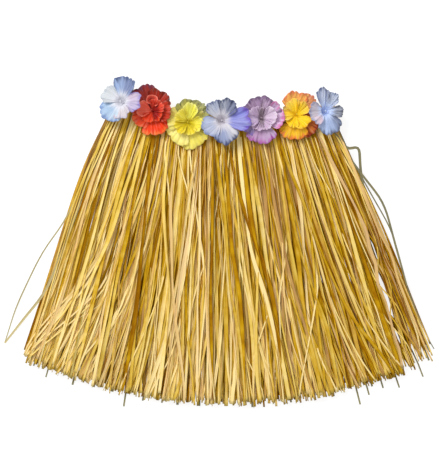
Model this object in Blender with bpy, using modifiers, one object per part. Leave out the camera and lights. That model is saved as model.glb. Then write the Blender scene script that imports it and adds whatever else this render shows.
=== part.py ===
"""A raffia dance skirt with seven cloth flowers on its waistband, laid flat on a table.

The front of the skirt faces up and the waistband lies towards +Y. Metres, +Z up, table at z = 0.
"""

import math
import random
from collections import namedtuple

import bmesh
import bpy
from mathutils import Matrix, Vector

MM = 0.001

# Flat outline of the skirt, seen from above. The waist dips in the middle and the hem is a fan.
WAIST_X = 4 * MM
WAIST_Y = 192 * MM
WAIST_DIP = 19 * MM
WAIST_SLOPE = 3 * MM
HALF_WAIST = 157 * MM
HEM_X = 14.5 * MM
HEM_Y = -166 * MM
HEM_DROP = 67 * MM
HALF_HEM = 296 * MM
LEFT_BOW = 9 * MM
RIGHT_BOW = 3 * MM

# Elastic waistband: a flattened loop.
BAND_HALF_LENGTH = 165 * MM
BAND_WIDTH = 20 * MM
BAND_WALL = 1.4 * MM
BAND_HEIGHT = 12.7 * MM
BAND_FLAT_STEPS = 16
BAND_FOLD_STEPS = 5

# Stitched heads of the raffia, as shares of the raffia's length from the band's middle line.
RAFFIA_LENGTH = 400 * MM
HEAD_SHARE = 8.5 * MM / RAFFIA_LENGTH
BAND_SHARE = BAND_WIDTH / 2 / RAFFIA_LENGTH
BELOW_BAND = 0.05
PILE_SETTLED = 0.14

SEAM_GAP = 0.3 * MM
TIP_LIFT = 0.5 * MM

# One row for each sewn layer of raffia, from the table up. Heights are in millimetres: where the
# stitched head lies in the band, where the layer lies in the pile, and how thick a lock is there.
Layer = namedtuple(
    "Layer",
    "name locks head_low head_high pile_low lock_thick lift clumps clump_pull lean stations seed",
)
LAYERS = (
    Layer("raffia_back_outer", 50, 1.7, 3.1, 0.0, 2.0, 0.0, 7.0, 0.35, 0.0, (0.55,), 11),
    Layer("raffia_back_inner", 36, 3.4, 4.8, 2.5, 1.9, 0.1, 5.0, 0.30, 0.0, (), 12),
    Layer("raffia_front_inner", 44, 5.1, 6.5, 4.9, 2.0, 0.2, 6.0, 0.40, 0.0, (0.55,), 13),
    Layer(
        "raffia_front_outer", 84, 6.8, 8.4, 7.5, 2.4, 2.1, 9.0, 0.55, 0.0,
        (0.34, 0.58, 0.82), 14,
    ),
)
OVERLAYS = (
    Layer(
        "raffia_over_left", 11, 8.7, 9.7, 12.6, 1.4, 0.0, 3.0, 0.10, -0.10,
        (0.30, 0.50, 0.70, 0.86), 15,
    ),
    Layer(
        "raffia_over_right", 11, 10.0, 11.0, 14.5, 1.4, 0.0, 3.0, 0.10, 0.09,
        (0.30, 0.50, 0.70, 0.86), 16,
    ),
)
OVERLAY_LOCK_SHARE = 0.30

# Loose strands that stray from the sides, as points along their middle: x, y and the height of
# the underside, in millimetres. The first points follow the side of the skirt by themselves.
Stray = namedtuple("Stray", "across side_shares width thick points")
LEFT_STRAYS = (
    Stray(
        -0.975, (0.30, 0.42), 1.6, 1.0,
        (
            (-224, 24, 12.6), (-232, 15, 10.0), (-247, -4, 6.5), (-263, -32, 3.6),
            (-277, -61, 1.8), (-291, -89, 0.9), (-299, -111, 0.5), (-302, -127, 0.5),
        ),
    ),
    Stray(
        -0.915, (0.30, 0.50, 0.66), 3.2, 1.0,
        (
            (-247, -69, 12.6), (-255, -80, 10.0), (-264, -90, 6.0), (-275, -102, 3.0),
            (-287, -117, 1.0), (-298, -132, 0.5), (-309, -145, 0.5),
        ),
    ),
)
RIGHT_STRAYS = (
    Stray(
        0.925, (), 2.2, 1.0,
        (
            (180, 132, 14.5), (186, 121, 14.5), (197, 106.5, 14.5), (213, 85, 14.0),
            (224.5, 72, 12.6), (232, 62, 11.0), (240, 43.5, 10.0), (246, 18, 10.5),
            (254, -11, 12.8), (261, -36.5, 14.5),
        ),
    ),
    Stray(
        0.98, (), 2.2, 1.0,
        (
            (183.5, 131.5, 14.5), (188, 131.5, 14.5), (196, 136, 14.5), (201.3, 135.7, 14.5),
            (202.8, 131.5, 14.5), (201.9, 119, 14.5), (202.8, 107, 14.5),
        ),
    ),
)

# Flowers, from the left. x and y are where the flower is sewn to the band, stem is how high its
# petals spread above the band, tilt_x leans it sideways and tilt_y up or down the skirt.
# Each petal is a row of its direction in degrees, its length and its rise, in millimetres.
Flower = namedtuple("Flower", "x y stem tilt_x tilt_y petals inner_length colour")
Petal = namedtuple("Petal", "angle length rise")
FLOWERS = (
    Flower(
        -141, 198, 9, -18, 12,
        (Petal(73, 38, 6), Petal(143, 28, 4), Petal(240, 34, 3), Petal(290, 27, 5), Petal(343, 34, 6)),
        0, "blue",
    ),
    Flower(
        -95, 187, 3, 0, 6,
        (Petal(62, 36, 5), Petal(118, 36, 4), Petal(206, 29, 2), Petal(268, 35, 2), Petal(350, 25, 6)),
        17, "red",
    ),
    Flower(
        -43, 172, 3, 0, 0,
        (Petal(16, 29, 2), Petal(88, 34, 5), Petal(172, 27, 3), Petal(235, 33, 3), Petal(291, 35, 2)),
        19, "yellow",
    ),
    Flower(
        4, 173, 9, 0, 2,
        (Petal(48, 35, 7), Petal(121, 30, 6), Petal(207, 30, 4), Petal(288, 36, 3), Petal(358, 33, 5)),
        0, "blue",
    ),
    Flower(
        60, 176, 3, 0, 5,
        (Petal(10, 32, 9), Petal(73, 34, 5), Petal(137, 33, 4), Petal(190, 29, 1), Petal(275, 36, 2)),
        17, "violet",
    ),
    Flower(
        110, 181, 3, 0, 5,
        (Petal(46, 35, 2), Petal(95, 34, 4), Petal(156, 25, 1), Petal(263, 35, 2), Petal(333, 34, 1)),
        18, "orange",
    ),
    Flower(
        151, 187, 9, 22, 4,
        (Petal(357, 24, 5), Petal(55, 28, 6), Petal(99, 37, 7), Petal(208, 29, 6), Petal(290, 34, 3)),
        0, "blue",
    ),
)
PETAL_WALL = 1.0 * MM
HUB_RADIUS = 3.2 * MM
INNER_HUB_RADIUS = 2.0 * MM
FUNNEL_WIDENING = 1.35
PETAL_STEPS = (-1.0, -0.6, -0.2, 0.2, 0.6)
PETAL_ROUNDING = {1.0: 0.62, 0.6: 0.95, 0.2: 1.0}
PETAL_RINGS = (0.0, 0.42, 0.78, 1.0)
INNER_RINGS = (0.0, 0.6, 1.0)
EDGE_RUFFLE = 0.9 * MM
INNER_PETALS = 5
INNER_RISE = 11 * MM
INNER_TURN = 36
PISTIL_RADIUS = 1.3 * MM
PISTIL_LENGTH = 11 * MM
PISTIL_SIDES = 6

# Colour, roughness and metallic value of each finish.
FINISHES = {
    "raffia": ((0.78, 0.58, 0.22, 1.0), 0.55, 0.0),
    "band": ((0.85, 0.74, 0.50, 1.0), 0.85, 0.0),
    "blue": ((0.62, 0.70, 0.90, 1.0), 0.70, 0.0),
    "red": ((0.80, 0.10, 0.06, 1.0), 0.70, 0.0),
    "yellow": ((0.88, 0.83, 0.20, 1.0), 0.70, 0.0),
    "violet": ((0.72, 0.50, 0.78, 1.0), 0.70, 0.0),
    "orange": ((0.92, 0.62, 0.10, 1.0), 0.70, 0.0),
    "pistil": ((0.88, 0.80, 0.40, 1.0), 0.50, 0.0),
}


def clear_scene():
    """Remove whatever the startup scene holds."""
    for obj in list(bpy.data.objects):
        bpy.data.objects.remove(obj)


def make_material(name):
    """Return a Principled material for one finish."""
    colour, roughness, metallic = FINISHES[name]
    material = bpy.data.materials.new(name)
    material.use_nodes = True
    shader = material.node_tree.nodes["Principled BSDF"]
    shader.inputs["Base Color"].default_value = colour
    shader.inputs["Roughness"].default_value = roughness
    shader.inputs["Metallic"].default_value = metallic
    return material


def add_object(name, bm, collection, material):
    """Turn a bmesh into a named object of the collection."""
    mesh = bpy.data.meshes.new(name)
    bm.to_mesh(mesh)
    bm.free()
    mesh.materials.append(material)
    obj = bpy.data.objects.new(name, mesh)
    collection.objects.link(obj)
    return obj


def smooth(low, high, value):
    """Ease from 0 at low to 1 at high."""
    t = min(1.0, max(0.0, (value - low) / (high - low)))
    return t * t * (3 - 2 * t)


def mix(a, b, t):
    return a + (b - a) * t


def skirt_point(across, share, height=0.0):
    """A point of the laid skirt: across is -1 to 1 from side to side, share is 0 at the band, 1 at the hem."""
    dip = WAIST_DIP * (1 - across * across) + WAIST_SLOPE * across
    waist = Vector((WAIST_X + HALF_WAIST * across, WAIST_Y - dip, height))
    drop = HEM_DROP * (1 - across * across)
    hem = Vector((HEM_X + HALF_HEM * across, HEM_Y - drop, height))
    point = waist.lerp(hem, share) if share >= 0 else waist + (waist - hem) * -share
    inside = min(1.0, max(0.0, share))
    bow = LEFT_BOW if across < 0 else RIGHT_BOW
    point.x += bow * across * abs(across) * 6.75 * inside * (1 - inside) ** 2
    return point


def gathered(across, share, layer, phase):
    """Where a lock's edge lies once its neighbours have drawn together into clumps."""
    turn = 2 * math.pi * layer.clumps
    pull = layer.clump_pull * smooth(0.08, 0.85, share)
    return across + pull * math.sin(turn * across + phase) / turn


def pile_height(layer, share):
    """Underside of a layer, in metres, between the band and the pile."""
    return mix(layer.head_low, layer.pile_low, smooth(BELOW_BAND, PILE_SETTLED, share)) * MM


def lock_rings(layer, place, half_cell, rng, phase):
    """Cross-sections of one lock, from below the band to its tip."""
    end = 1.0 + rng.uniform(-0.025, 0.012) + (0.010 if rng.random() < 0.08 else 0.0)
    turn, wave = rng.uniform(0, 2 * math.pi), rng.uniform(1.2, 2.4)
    slope = rng.uniform(-0.25, 0.25)
    fullness = rng.uniform(0.80, 0.92)
    rings = []
    for share in (BELOW_BAND, PILE_SETTLED, *layer.stations, end):
        settled = smooth(BELOW_BAND, 0.30, share)
        fill = mix(0.95, fullness, settled) * mix(1.0, 0.72, smooth(0.8, 1.0, share))
        drift = (1 - fill) * 0.6 * math.sin(turn + 5 * share)
        lean = layer.lean * smooth(0.1, 1.0, share)
        left = gathered(place + lean + half_cell * (drift - fill), share, layer, phase)
        right = gathered(place + lean + half_cell * (drift + fill), share, layer, phase)
        lift = layer.lift * settled * (0.5 + 0.5 * math.sin(turn + wave * math.pi * share))
        head_thick = layer.head_high - layer.head_low
        thick = mix(head_thick, layer.lock_thick, settled)
        low = pile_height(layer, share) + lift * MM
        if share == end:
            low += TIP_LIFT
            thick *= 0.7
        high = low + thick * MM
        step = slope * settled * MM
        left_low, right_low = skirt_point(left, share, low), skirt_point(right, share, low)
        left_high = left_low.lerp(right_low, 0.16 * settled)
        right_high = right_low.lerp(left_low, 0.16 * settled)
        left_high.z, right_high.z = high + min(0, step), high - max(0, step)
        rings.append((left_low, right_low, right_high, left_high))
    return rings


def stray_rings(stray, layer):
    """Cross-sections of a loose strand: first along the side of the skirt, then over its own points."""
    middle = [skirt_point(stray.across, share, pile_height(layer, share))
              for share in (BELOW_BAND, PILE_SETTLED) if share < PILE_SETTLED or stray.side_shares]
    middle += [skirt_point(stray.across, share, layer.pile_low * MM) for share in stray.side_shares]
    middle += [Vector(point) * MM for point in stray.points]
    start = skirt_point(stray.across, HEAD_SHARE)
    rings = []
    for i, point in enumerate(middle):
        before = middle[i - 1] if i else start
        after = middle[min(i + 1, len(middle) - 1)]
        into, out = (point - before).xy, (after - point).xy
        way = (into.normalized() + (out.normalized() if out.length else Vector((0, 0)))).normalized()
        half = stray.width * MM / 2 * (0.6 if i == len(middle) - 1 else 1.0)
        aside = Vector((way.y, -way.x, 0)) * half
        low = point
        high = point + Vector((0, 0, stray.thick * MM))
        rings.append((low + aside, low - aside, high - aside, high + aside))
    return rings


def grow(bm, face, rings):
    """Extrude one face of a stitched head through the rings of its lock."""
    corners = [face.verts[:][i] for i in range(4)]
    corners.sort(key=lambda v: v.co.z)
    low = sorted(corners[:2], key=lambda v: v.co.x)
    high = sorted(corners[2:], key=lambda v: v.co.x)
    places = [v.co.copy() for v in (low[0], low[1], high[1], high[0])]
    for ring in rings:
        face = bmesh.ops.extrude_discrete_faces(bm, faces=[face])["faces"][0]
        loose = list(face.verts)
        for i, target in enumerate(ring):
            vert = min(loose, key=lambda v: (v.co - places[i]).length)
            loose.remove(vert)
            vert.co = target
        places = list(ring)


def make_layer(layer, strays, collection, material):
    """One sewn layer: a stitched head strip with its locks hanging from it."""
    rng = random.Random(layer.seed)
    phase = rng.uniform(0, 2 * math.pi)
    on_left = [stray for stray in strays if stray.across < 0]
    on_right = [stray for stray in strays if stray.across > 0]
    if strays:
        half_lock = OVERLAY_LOCK_SHARE / layer.locks
        places = [mix(-0.80, 0.80, i / (layer.locks - 1)) + rng.uniform(-0.03, 0.03)
                  for i in range(layer.locks)]
        cells = [(stray.across, stray.width * MM / 2 / HALF_WAIST, stray) for stray in on_left]
        cells += [(place, half_lock, None) for place in places]
        cells += [(stray.across, stray.width * MM / 2 / HALF_WAIST, stray) for stray in on_right]
        columns = [-1.0]
        for across, half, _ in cells:
            columns += [across - half, across + half]
        columns.append(1.0)
        grown = dict(zip(range(1, 2 * len(cells), 2), cells))
    else:
        half = 1.0 / layer.locks
        columns = [-1 + 2 * half * i for i in range(layer.locks + 1)]
        grown = {i: (-1 + half * (2 * i + 1), half, None) for i in range(layer.locks)}
    bm = bmesh.new()
    bmesh.ops.create_grid(bm, x_segments=len(columns) - 1, y_segments=1, size=1)
    fronts = sorted(bm.faces, key=lambda face: face.calc_center_median().x)
    for vert in bm.verts:
        column = round((vert.co.x + 1) / 2 * (len(columns) - 1))
        height = layer.head_low if vert.co.y < 0 else layer.head_high
        vert.co = skirt_point(columns[column], HEAD_SHARE, height * MM)
    made = bmesh.ops.extrude_face_region(bm, geom=bm.faces[:], use_keep_orig=True)
    top = [item for item in made["geom"] if isinstance(item, bmesh.types.BMVert)]
    for vert in top:
        height = vert.co.z
        column = min(columns, key=lambda across: (skirt_point(across, HEAD_SHARE, height) - vert.co).length)
        vert.co = skirt_point(column, -HEAD_SHARE, height)
    for index, (across, half_cell, stray) in grown.items():
        if stray:
            rings = stray_rings(stray, layer)
        else:
            rings = lock_rings(layer, across, half_cell, rng, phase)
        grow(bm, fronts[index], rings)
    bmesh.ops.recalc_face_normals(bm, faces=bm.faces[:])
    return add_object(layer.name, bm, collection, material)


def make_waistband(collection, material):
    """The elastic loop, flattened: front and back lie over each other and turn at the sides."""
    radius = BAND_HEIGHT / 2
    straight = BAND_HALF_LENGTH - radius
    loop = []
    for side in (1, -1):
        for i in range(BAND_FLAT_STEPS):
            run = mix(-straight, straight, i / BAND_FLAT_STEPS) * side
            loop.append((run, radius - radius * side))
        for i in range(BAND_FOLD_STEPS):
            angle = math.pi * i / BAND_FOLD_STEPS
            loop.append((side * (straight + radius * math.sin(angle)), radius - side * radius * math.cos(angle)))
    bm = bmesh.new()
    bmesh.ops.create_grid(bm, x_segments=len(loop), y_segments=1, size=1)
    for vert in bm.verts:
        run, height = loop[round((vert.co.x + 1) / 2 * len(loop)) % len(loop)]
        share = BAND_SHARE if vert.co.y < 0 else -BAND_SHARE
        vert.co = skirt_point(run / HALF_WAIST, share, height)
    bmesh.ops.remove_doubles(bm, verts=bm.verts[:], dist=0.01 * MM)
    bmesh.ops.recalc_face_normals(bm, faces=bm.faces[:])
    obj = add_object("waistband", bm, collection, material)
    wall = obj.modifiers.new("wall", "SOLIDIFY")
    wall.thickness = BAND_WALL
    wall.offset = -1
    wall.use_even_offset = True
    return obj


def petal_sector(petals, index):
    """Directions of the notches before and after a petal, in degrees."""
    here = petals[index].angle
    before = petals[index - 1].angle
    after = petals[(index + 1) % len(petals)].angle
    return here - ((here - before) % 360) / 2, here + ((after - here) % 360) / 2


def spread_petals(name, petals, rings, hub_radius, stem, start, collection, material):
    """A round of petals cut from one piece of cloth: a hub, a short funnel and five lobes."""
    outline = []
    for i, petal in enumerate(petals):
        first, last = petal_sector(petals, i)
        for step in PETAL_STEPS:
            angle = petal.angle + step * ((last - petal.angle) if step > 0 else (petal.angle - first))
            reach = petal.length * PETAL_ROUNDING[abs(step)]
            rise = petal.rise
            if step == -1.0:
                before = petals[i - 1]
                reach = (petal.length + before.length) / 2 * PETAL_ROUNDING[1.0]
                rise = (petal.rise + before.rise) / 2
            ruffle = EDGE_RUFFLE * (1 if abs(step) == 0.2 else -1)
            outline.append((math.radians(angle), reach * MM, rise * MM, ruffle))
    bm = bmesh.new()
    bmesh.ops.create_grid(bm, x_segments=len(outline), y_segments=len(rings), size=1)
    for vert in bm.verts:
        angle, reach, rise, ruffle = outline[round((vert.co.x + 1) / 2 * len(outline)) % len(outline)]
        ring = round((vert.co.y + 1) / 2 * len(rings))
        if ring == 0:
            radius, height = hub_radius, 0.0
        else:
            share = rings[ring - 1]
            radius = mix(hub_radius * FUNNEL_WIDENING, reach, share)
            height = stem + rise * share ** 1.6 + ruffle * share * share
        vert.co = (radius * math.cos(angle), radius * math.sin(angle), start + PETAL_WALL + height)
    bmesh.ops.remove_doubles(bm, verts=bm.verts[:], dist=0.01 * MM)
    hub = [edge for edge in bm.edges
           if edge.is_boundary and all(v.co.xy.length < hub_radius * 1.1 for v in edge.verts)]
    made = bmesh.ops.contextual_create(bm, geom=hub)["faces"]
    bmesh.ops.recalc_face_normals(bm, faces=bm.faces[:])
    if made[0].normal.z < 0:
        bmesh.ops.reverse_faces(bm, faces=bm.faces[:])
    obj = add_object(name, bm, collection, material)
    wall = obj.modifiers.new("wall", "SOLIDIFY")
    wall.thickness = PETAL_WALL
    wall.offset = -1
    return obj


def make_flower(number, flower, collection, materials):
    """One flower: its petals, an inner round where it has one, and its pistil."""
    name = f"flower_{number}"
    lean = Matrix.Rotation(math.radians(flower.tilt_x), 4, "Y") @ Matrix.Rotation(
        math.radians(-flower.tilt_y), 4, "X"
    )
    seat = Matrix.Translation((flower.x * MM, flower.y * MM, BAND_HEIGHT + SEAM_GAP))
    lowest = HUB_RADIUS * (abs(math.sin(math.radians(flower.tilt_x))) + abs(math.sin(math.radians(flower.tilt_y))))
    seat.translation.z += lowest
    pieces = [
        spread_petals(
            name + "_petals", flower.petals, PETAL_RINGS, HUB_RADIUS, flower.stem * MM, 0.0,
            collection, materials[flower.colour],
        )
    ]
    floor = PETAL_WALL
    if flower.inner_length:
        turn = flower.petals[0].angle + INNER_TURN
        inner = [
            Petal(turn + 360 / INNER_PETALS * i, flower.inner_length + (i % 2), INNER_RISE / MM)
            for i in range(INNER_PETALS)
        ]
        floor += SEAM_GAP
        pieces.append(
            spread_petals(
                name + "_inner", inner, INNER_RINGS, INNER_HUB_RADIUS, flower.stem * MM, floor + 0.6 * MM,
                collection, materials[flower.colour],
            )
        )
        floor += 0.6 * MM + PETAL_WALL
    bm = bmesh.new()
    bmesh.ops.create_cone(
        bm, cap_ends=True, segments=PISTIL_SIDES, radius1=PISTIL_RADIUS * 0.7,
        radius2=PISTIL_RADIUS, depth=PISTIL_LENGTH,
        matrix=Matrix.Translation((0, 0, floor + SEAM_GAP + PISTIL_LENGTH / 2)),
    )
    pieces.append(add_object(name + "_pistil", bm, collection, materials["pistil"]))
    for piece in pieces:
        piece.data.transform(seat @ lean)
    return pieces


def centre_on_table(objects):
    """Move every piece so that the origin lies under the middle of the whole outline."""
    bpy.context.view_layer.update()
    graph = bpy.context.evaluated_depsgraph_get()
    corners = [Vector(corner) for obj in objects for corner in obj.evaluated_get(graph).bound_box]
    low = [min(corner[axis] for corner in corners) for axis in range(3)]
    high = [max(corner[axis] for corner in corners) for axis in range(3)]
    shift = Matrix.Translation((-(low[0] + high[0]) / 2, -(low[1] + high[1]) / 2, -low[2]))
    for obj in objects:
        obj.data.transform(shift)


def main():
    clear_scene()
    collection = bpy.data.collections.new("raffia_skirt")
    bpy.context.scene.collection.children.link(collection)
    materials = {name: make_material(name) for name in FINISHES}
    objects = [make_waistband(collection, materials["band"])]
    for layer in LAYERS:
        objects.append(make_layer(layer, (), collection, materials["raffia"]))
    for layer, strays in zip(OVERLAYS, (LEFT_STRAYS, RIGHT_STRAYS)):
        objects.append(make_layer(layer, strays, collection, materials["raffia"]))
    for number, flower in enumerate(FLOWERS, 1):
        objects += make_flower(number, flower, collection, materials)
    centre_on_table(objects)


main()
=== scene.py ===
"""Dresses the laid-out raffia dance skirt: straw, cloth flowers, woven band, table and studio light.

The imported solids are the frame. Everything here is in metres in the same frame: +X across the
skirt, +Y from the hem to the waistband, +Z up from the table.
"""

from __future__ import annotations

import logging
import math
from dataclasses import dataclass
from enum import Enum
from typing import Any, Callable, Iterable, Sequence

import bmesh
import bpy
import numpy as np
from mathutils import Matrix, Vector


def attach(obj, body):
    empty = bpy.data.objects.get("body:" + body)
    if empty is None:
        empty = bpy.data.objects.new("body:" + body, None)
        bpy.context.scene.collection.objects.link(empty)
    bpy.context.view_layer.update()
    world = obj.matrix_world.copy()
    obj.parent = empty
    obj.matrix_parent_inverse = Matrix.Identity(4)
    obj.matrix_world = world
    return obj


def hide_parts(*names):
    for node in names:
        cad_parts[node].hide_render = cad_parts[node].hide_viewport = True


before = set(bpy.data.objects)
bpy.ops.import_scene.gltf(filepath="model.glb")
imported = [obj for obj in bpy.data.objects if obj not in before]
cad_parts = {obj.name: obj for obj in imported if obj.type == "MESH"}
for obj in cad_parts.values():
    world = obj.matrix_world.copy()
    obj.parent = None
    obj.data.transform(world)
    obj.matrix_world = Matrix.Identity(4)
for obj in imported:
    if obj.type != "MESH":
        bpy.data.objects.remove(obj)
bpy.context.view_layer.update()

LOG = logging.getLogger("raffia_skirt")
MM = 0.001
IMAGE_HEIGHT = 451
PIXEL = 1.43 * MM
BODY = "root"
FRAME_SHIFT = (-0.32, 1.56)
BAND_TOP = 12.7 * MM
HEAD_SHARE = -0.021
MOST_DRIFT = 0.16
PETAL_WALL = 0.35 * MM
TURN = 6.2832
PHASES = (0.0, 6.28)
Colour = tuple[float, float, float, float]
Dye = tuple[int, int, int]
Array = np.ndarray
Marked = tuple[Array, dict[str, Array]]


def dye(red: float, green: float, blue: float) -> Colour:
    """Turn a display colour into the linear one that shaders use.

    Args:
        red: Red from 0 to 255.
        green: Green from 0 to 255.
        blue: Blue from 0 to 255.

    Returns:
        The linear colour with full alpha.
    """
    parts = [part / 255 for part in (red, green, blue)]
    linear = [p / 12.92 if p <= 0.04045 else ((p + 0.055) / 1.055) ** 2.4 for p in parts]
    return (linear[0], linear[1], linear[2], 1.0)


def smooth(low: float, high: float, value: Any) -> Any:
    """Ease from 0 at low to 1 at high."""
    t = np.clip((np.asarray(value, float) - low) / (high - low), 0.0, 1.0)
    return t * t * (3 - 2 * t)


def mix(first: Any, second: Any, amount: Any) -> Any:
    """Blend two values."""
    return first + (second - first) * amount


@dataclass(frozen=True)
class SkirtPlan:
    """Flat outline of the laid skirt: a waist that dips and a hem that fans out."""

    waist: tuple[float, float] = (3.68 * MM, 193.56 * MM)
    waist_dip: float = 19 * MM
    waist_slope: float = 3 * MM
    half_waist: float = 157 * MM
    hem: tuple[float, float] = (14.18 * MM, -164.44 * MM)
    hem_drop: float = 67 * MM
    half_hem: float = 296 * MM
    left_bow: float = 9 * MM
    right_bow: float = 3 * MM
    length: float = 400 * MM

    def point(self, across: Array, share: Array) -> tuple[Array, Array]:
        """Place points of the skirt.

        Args:
            across: From -1 at the left side to 1 at the right side.
            share: From 0 at the band's middle line to 1 at the hem.

        Returns:
            The points' x and y.
        """
        round_off = 1 - across * across
        waist_x = self.waist[0] + self.half_waist * across
        waist_y = self.waist[1] - self.waist_dip * round_off - self.waist_slope * across
        hem_x = self.hem[0] + self.half_hem * across
        hem_y = self.hem[1] - self.hem_drop * round_off
        inside = np.clip(share, 0.0, 1.0)
        bow = np.where(across < 0, self.left_bow, self.right_bow)
        x = mix(waist_x, hem_x, share)
        x = x + bow * across * np.abs(across) * 6.75 * inside * (1 - inside) ** 2
        return x, mix(waist_y, hem_y, share)


def arithmetic(operation: str, reflected: bool = False) -> Callable[[Wire, Any], Wire]:
    """Make a Python operator that adds one Math node.

    Args:
        operation: The node's operation.
        reflected: Whether the wire is the second number.

    Returns:
        The operator.
    """

    def operator(wire: Wire, other: Any) -> Wire:
        """Add the node."""
        first, second = (other, wire) if reflected else (wire, other)
        return wire.bench.maths(operation, first, second)

    return operator


@dataclass(frozen=True)
class Wire:
    """A node's output that Python arithmetic works on."""

    bench: NodeBench
    socket: bpy.types.NodeSocket

    __add__, __radd__ = arithmetic("ADD"), arithmetic("ADD", True)
    __sub__, __rsub__ = arithmetic("SUBTRACT"), arithmetic("SUBTRACT", True)
    __mul__, __rmul__ = arithmetic("MULTIPLY"), arithmetic("MULTIPLY", True)


class NodeBench:
    """Adds nodes to one tree."""

    def __init__(self, tree: bpy.types.NodeTree) -> None:
        """Keep the tree."""
        self.tree = tree

    def node(self, kind: str, settings: dict[str, Any], inputs: dict[Any, Any]) -> bpy.types.Node:
        """Add one node.

        Args:
            kind: The node's type.
            settings: Its own settings; "stops" holds a ramp's positions and colours.
            inputs: Values, wires or sockets for its inputs, by name or number.

        Returns:
            The new node.
        """
        made = self.tree.nodes.new(kind)
        for key, value in settings.items():
            if key != "stops":
                setattr(made, key, value)
                continue
            ramp = made.color_ramp
            while len(ramp.elements) < len(value):
                ramp.elements.new(0.5)
            for element, (position, colour) in zip(ramp.elements, value):
                element.position, element.color = position, colour
        for key, value in inputs.items():
            if isinstance(value, Wire):
                value = value.socket
            if isinstance(value, bpy.types.NodeSocket):
                self.tree.links.new(value, made.inputs[key])
            else:
                made.inputs[key].default_value = value
        return made

    def wire(self, kind: str, settings: dict[str, Any], inputs: dict[Any, Any], output: Any = 0) -> Wire:
        """Add one node and return one of its outputs."""
        return Wire(self, self.node(kind, settings, inputs).outputs[output])

    def maths(self, operation: str, *numbers: Any) -> Wire:
        """Add one Math node."""
        return self.wire("ShaderNodeMath", {"operation": operation}, dict(enumerate(numbers)))


class MaterialBench(NodeBench):
    """Builds one node material."""

    def __init__(self, name: str) -> None:
        """Start an empty material.

        Args:
            name: The finish's name.
        """
        self.material = bpy.data.materials.new(name)
        self.material.use_nodes = True
        super().__init__(self.material.node_tree)
        self.tree.nodes.clear()

    def attribute(self, name: str, output: str = "Fac") -> Wire:
        """Read one of the piece's own attributes."""
        return self.wire("ShaderNodeAttribute", {"attribute_name": name}, {}, output)

    def spot(self) -> Wire:
        """Read the piece's own coordinates."""
        return self.wire("ShaderNodeTexCoord", {}, {}, "Object")

    def place(self, x: Any, y: Any, z: Any) -> Wire:
        """Join three numbers into a place in a pattern."""
        return self.wire("ShaderNodeCombineXYZ", {}, {0: x, 1: y, 2: z})

    def noise(self, where: Wire, scale: float, detail: float = 3.0, rough: float = 0.55) -> Wire:
        """Add a noise pattern and return its height."""
        sizes = {"Vector": where, "Scale": scale, "Detail": detail, "Roughness": rough}
        return self.wire("ShaderNodeTexNoise", {}, sizes)

    def ramp(self, amount: Wire, stops: Sequence[tuple[float, Colour]]) -> Wire:
        """Turn a number into a colour."""
        return self.wire("ShaderNodeValToRGB", {"stops": stops}, {0: amount})

    def blend(self, first: Any, second: Any, amount: Any, how: str = "MIX") -> Wire:
        """Mix two colours."""
        settings = {"data_type": "RGBA", "blend_type": how, "clamp_factor": True}
        return self.wire("ShaderNodeMix", settings, {0: amount, 6: first, 7: second}, 2)

    def stretch(self, amount: Wire, low: float, high: float, to_low: float, to_high: float) -> Wire:
        """Map a range of numbers to another and clamp it."""
        ends = {0: amount, 1: low, 2: high, 3: to_low, 4: to_high}
        return self.wire("ShaderNodeMapRange", {"clamp": True}, ends)

    def bump(self, height: Wire, distance: float, strength: float) -> Wire:
        """Turn a height pattern into a bumped normal."""
        sizes = {"Height": height, "Distance": distance, "Strength": strength}
        return self.wire("ShaderNodeBump", {}, sizes)

    def finish(self, inputs: dict[str, Any]) -> bpy.types.Material:
        """Close the material.

        Args:
            inputs: What its Principled surface takes.

        Returns:
            The material.
        """
        surface = self.wire("ShaderNodeBsdfPrincipled", {}, inputs)
        self.node("ShaderNodeOutputMaterial", {}, {0: surface})
        return self.material


@dataclass(frozen=True)
class RaffiaFinish:
    """Dry raffia: straw tones from brown gold to cream, with long fibres, grey cut ends and painted shade
    towards each ribbon's edges.
    """

    name: str = "dry raffia straw"
    shade: Colour = dye(147, 94, 0)
    gold: Colour = dye(201, 156, 14)
    straw: Colour = dye(232, 199, 95)
    cream: Colour = dye(250, 225, 158)
    tan: Colour = dye(236, 200, 146)
    green: Colour = dye(116, 124, 104)
    cut_end: Colour = dye(104, 96, 48)
    roughness: float = 0.62
    fibre_height: float = 0.10 * MM

    def build(self) -> bpy.types.Material:
        """Return the material."""
        bench = MaterialBench(self.name)
        tone, tint = bench.attribute("tone"), bench.attribute("tint")
        along, across = bench.attribute("along"), bench.attribute("across")
        strand = bench.place(across * 1.7 + tone * 31.0, along * 6.0, tint * 17.0)
        fibres = bench.noise(strand, 3.2, 4.0, 0.62)
        patches = bench.noise(bench.place(tone * 19.0, along * 8.0, tint * 23.0), 1.6, 2.0)
        # Painted shade and highlight: each ribbon is a little lighter along its middle and darker towards
        # its edges.
        edge_shade = bench.stretch(across * across, 0.30, 1.0, -0.06, 0.26)
        tone_here = tone + (fibres - 0.5) * 0.50 + (patches - 0.5) * 0.66 - edge_shade
        stops = [(0.0, self.shade), (0.30, self.gold), (0.62, self.straw), (1.0, self.cream)]
        straw = bench.ramp(tone_here, stops)
        straw = bench.blend(straw, self.tan, bench.stretch(tint, 0.62, 0.86, 0.0, 0.66))
        straw = bench.blend(straw, self.green, bench.stretch(tint, 0.14, 0.03, 0.0, 0.80))
        straw = bench.blend(straw, self.cut_end, bench.stretch(along, 0.986, 0.999, 0.0, 0.60))
        return bench.finish(
            {
                "Base Color": straw,
                "Roughness": bench.stretch(fibres, 0.3, 0.7, self.roughness - 0.1, self.roughness + 0.12),
                "Normal": bench.bump(fibres, self.fibre_height, 0.5),
                "Specular IOR Level": 0.05,
            }
        )


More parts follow.
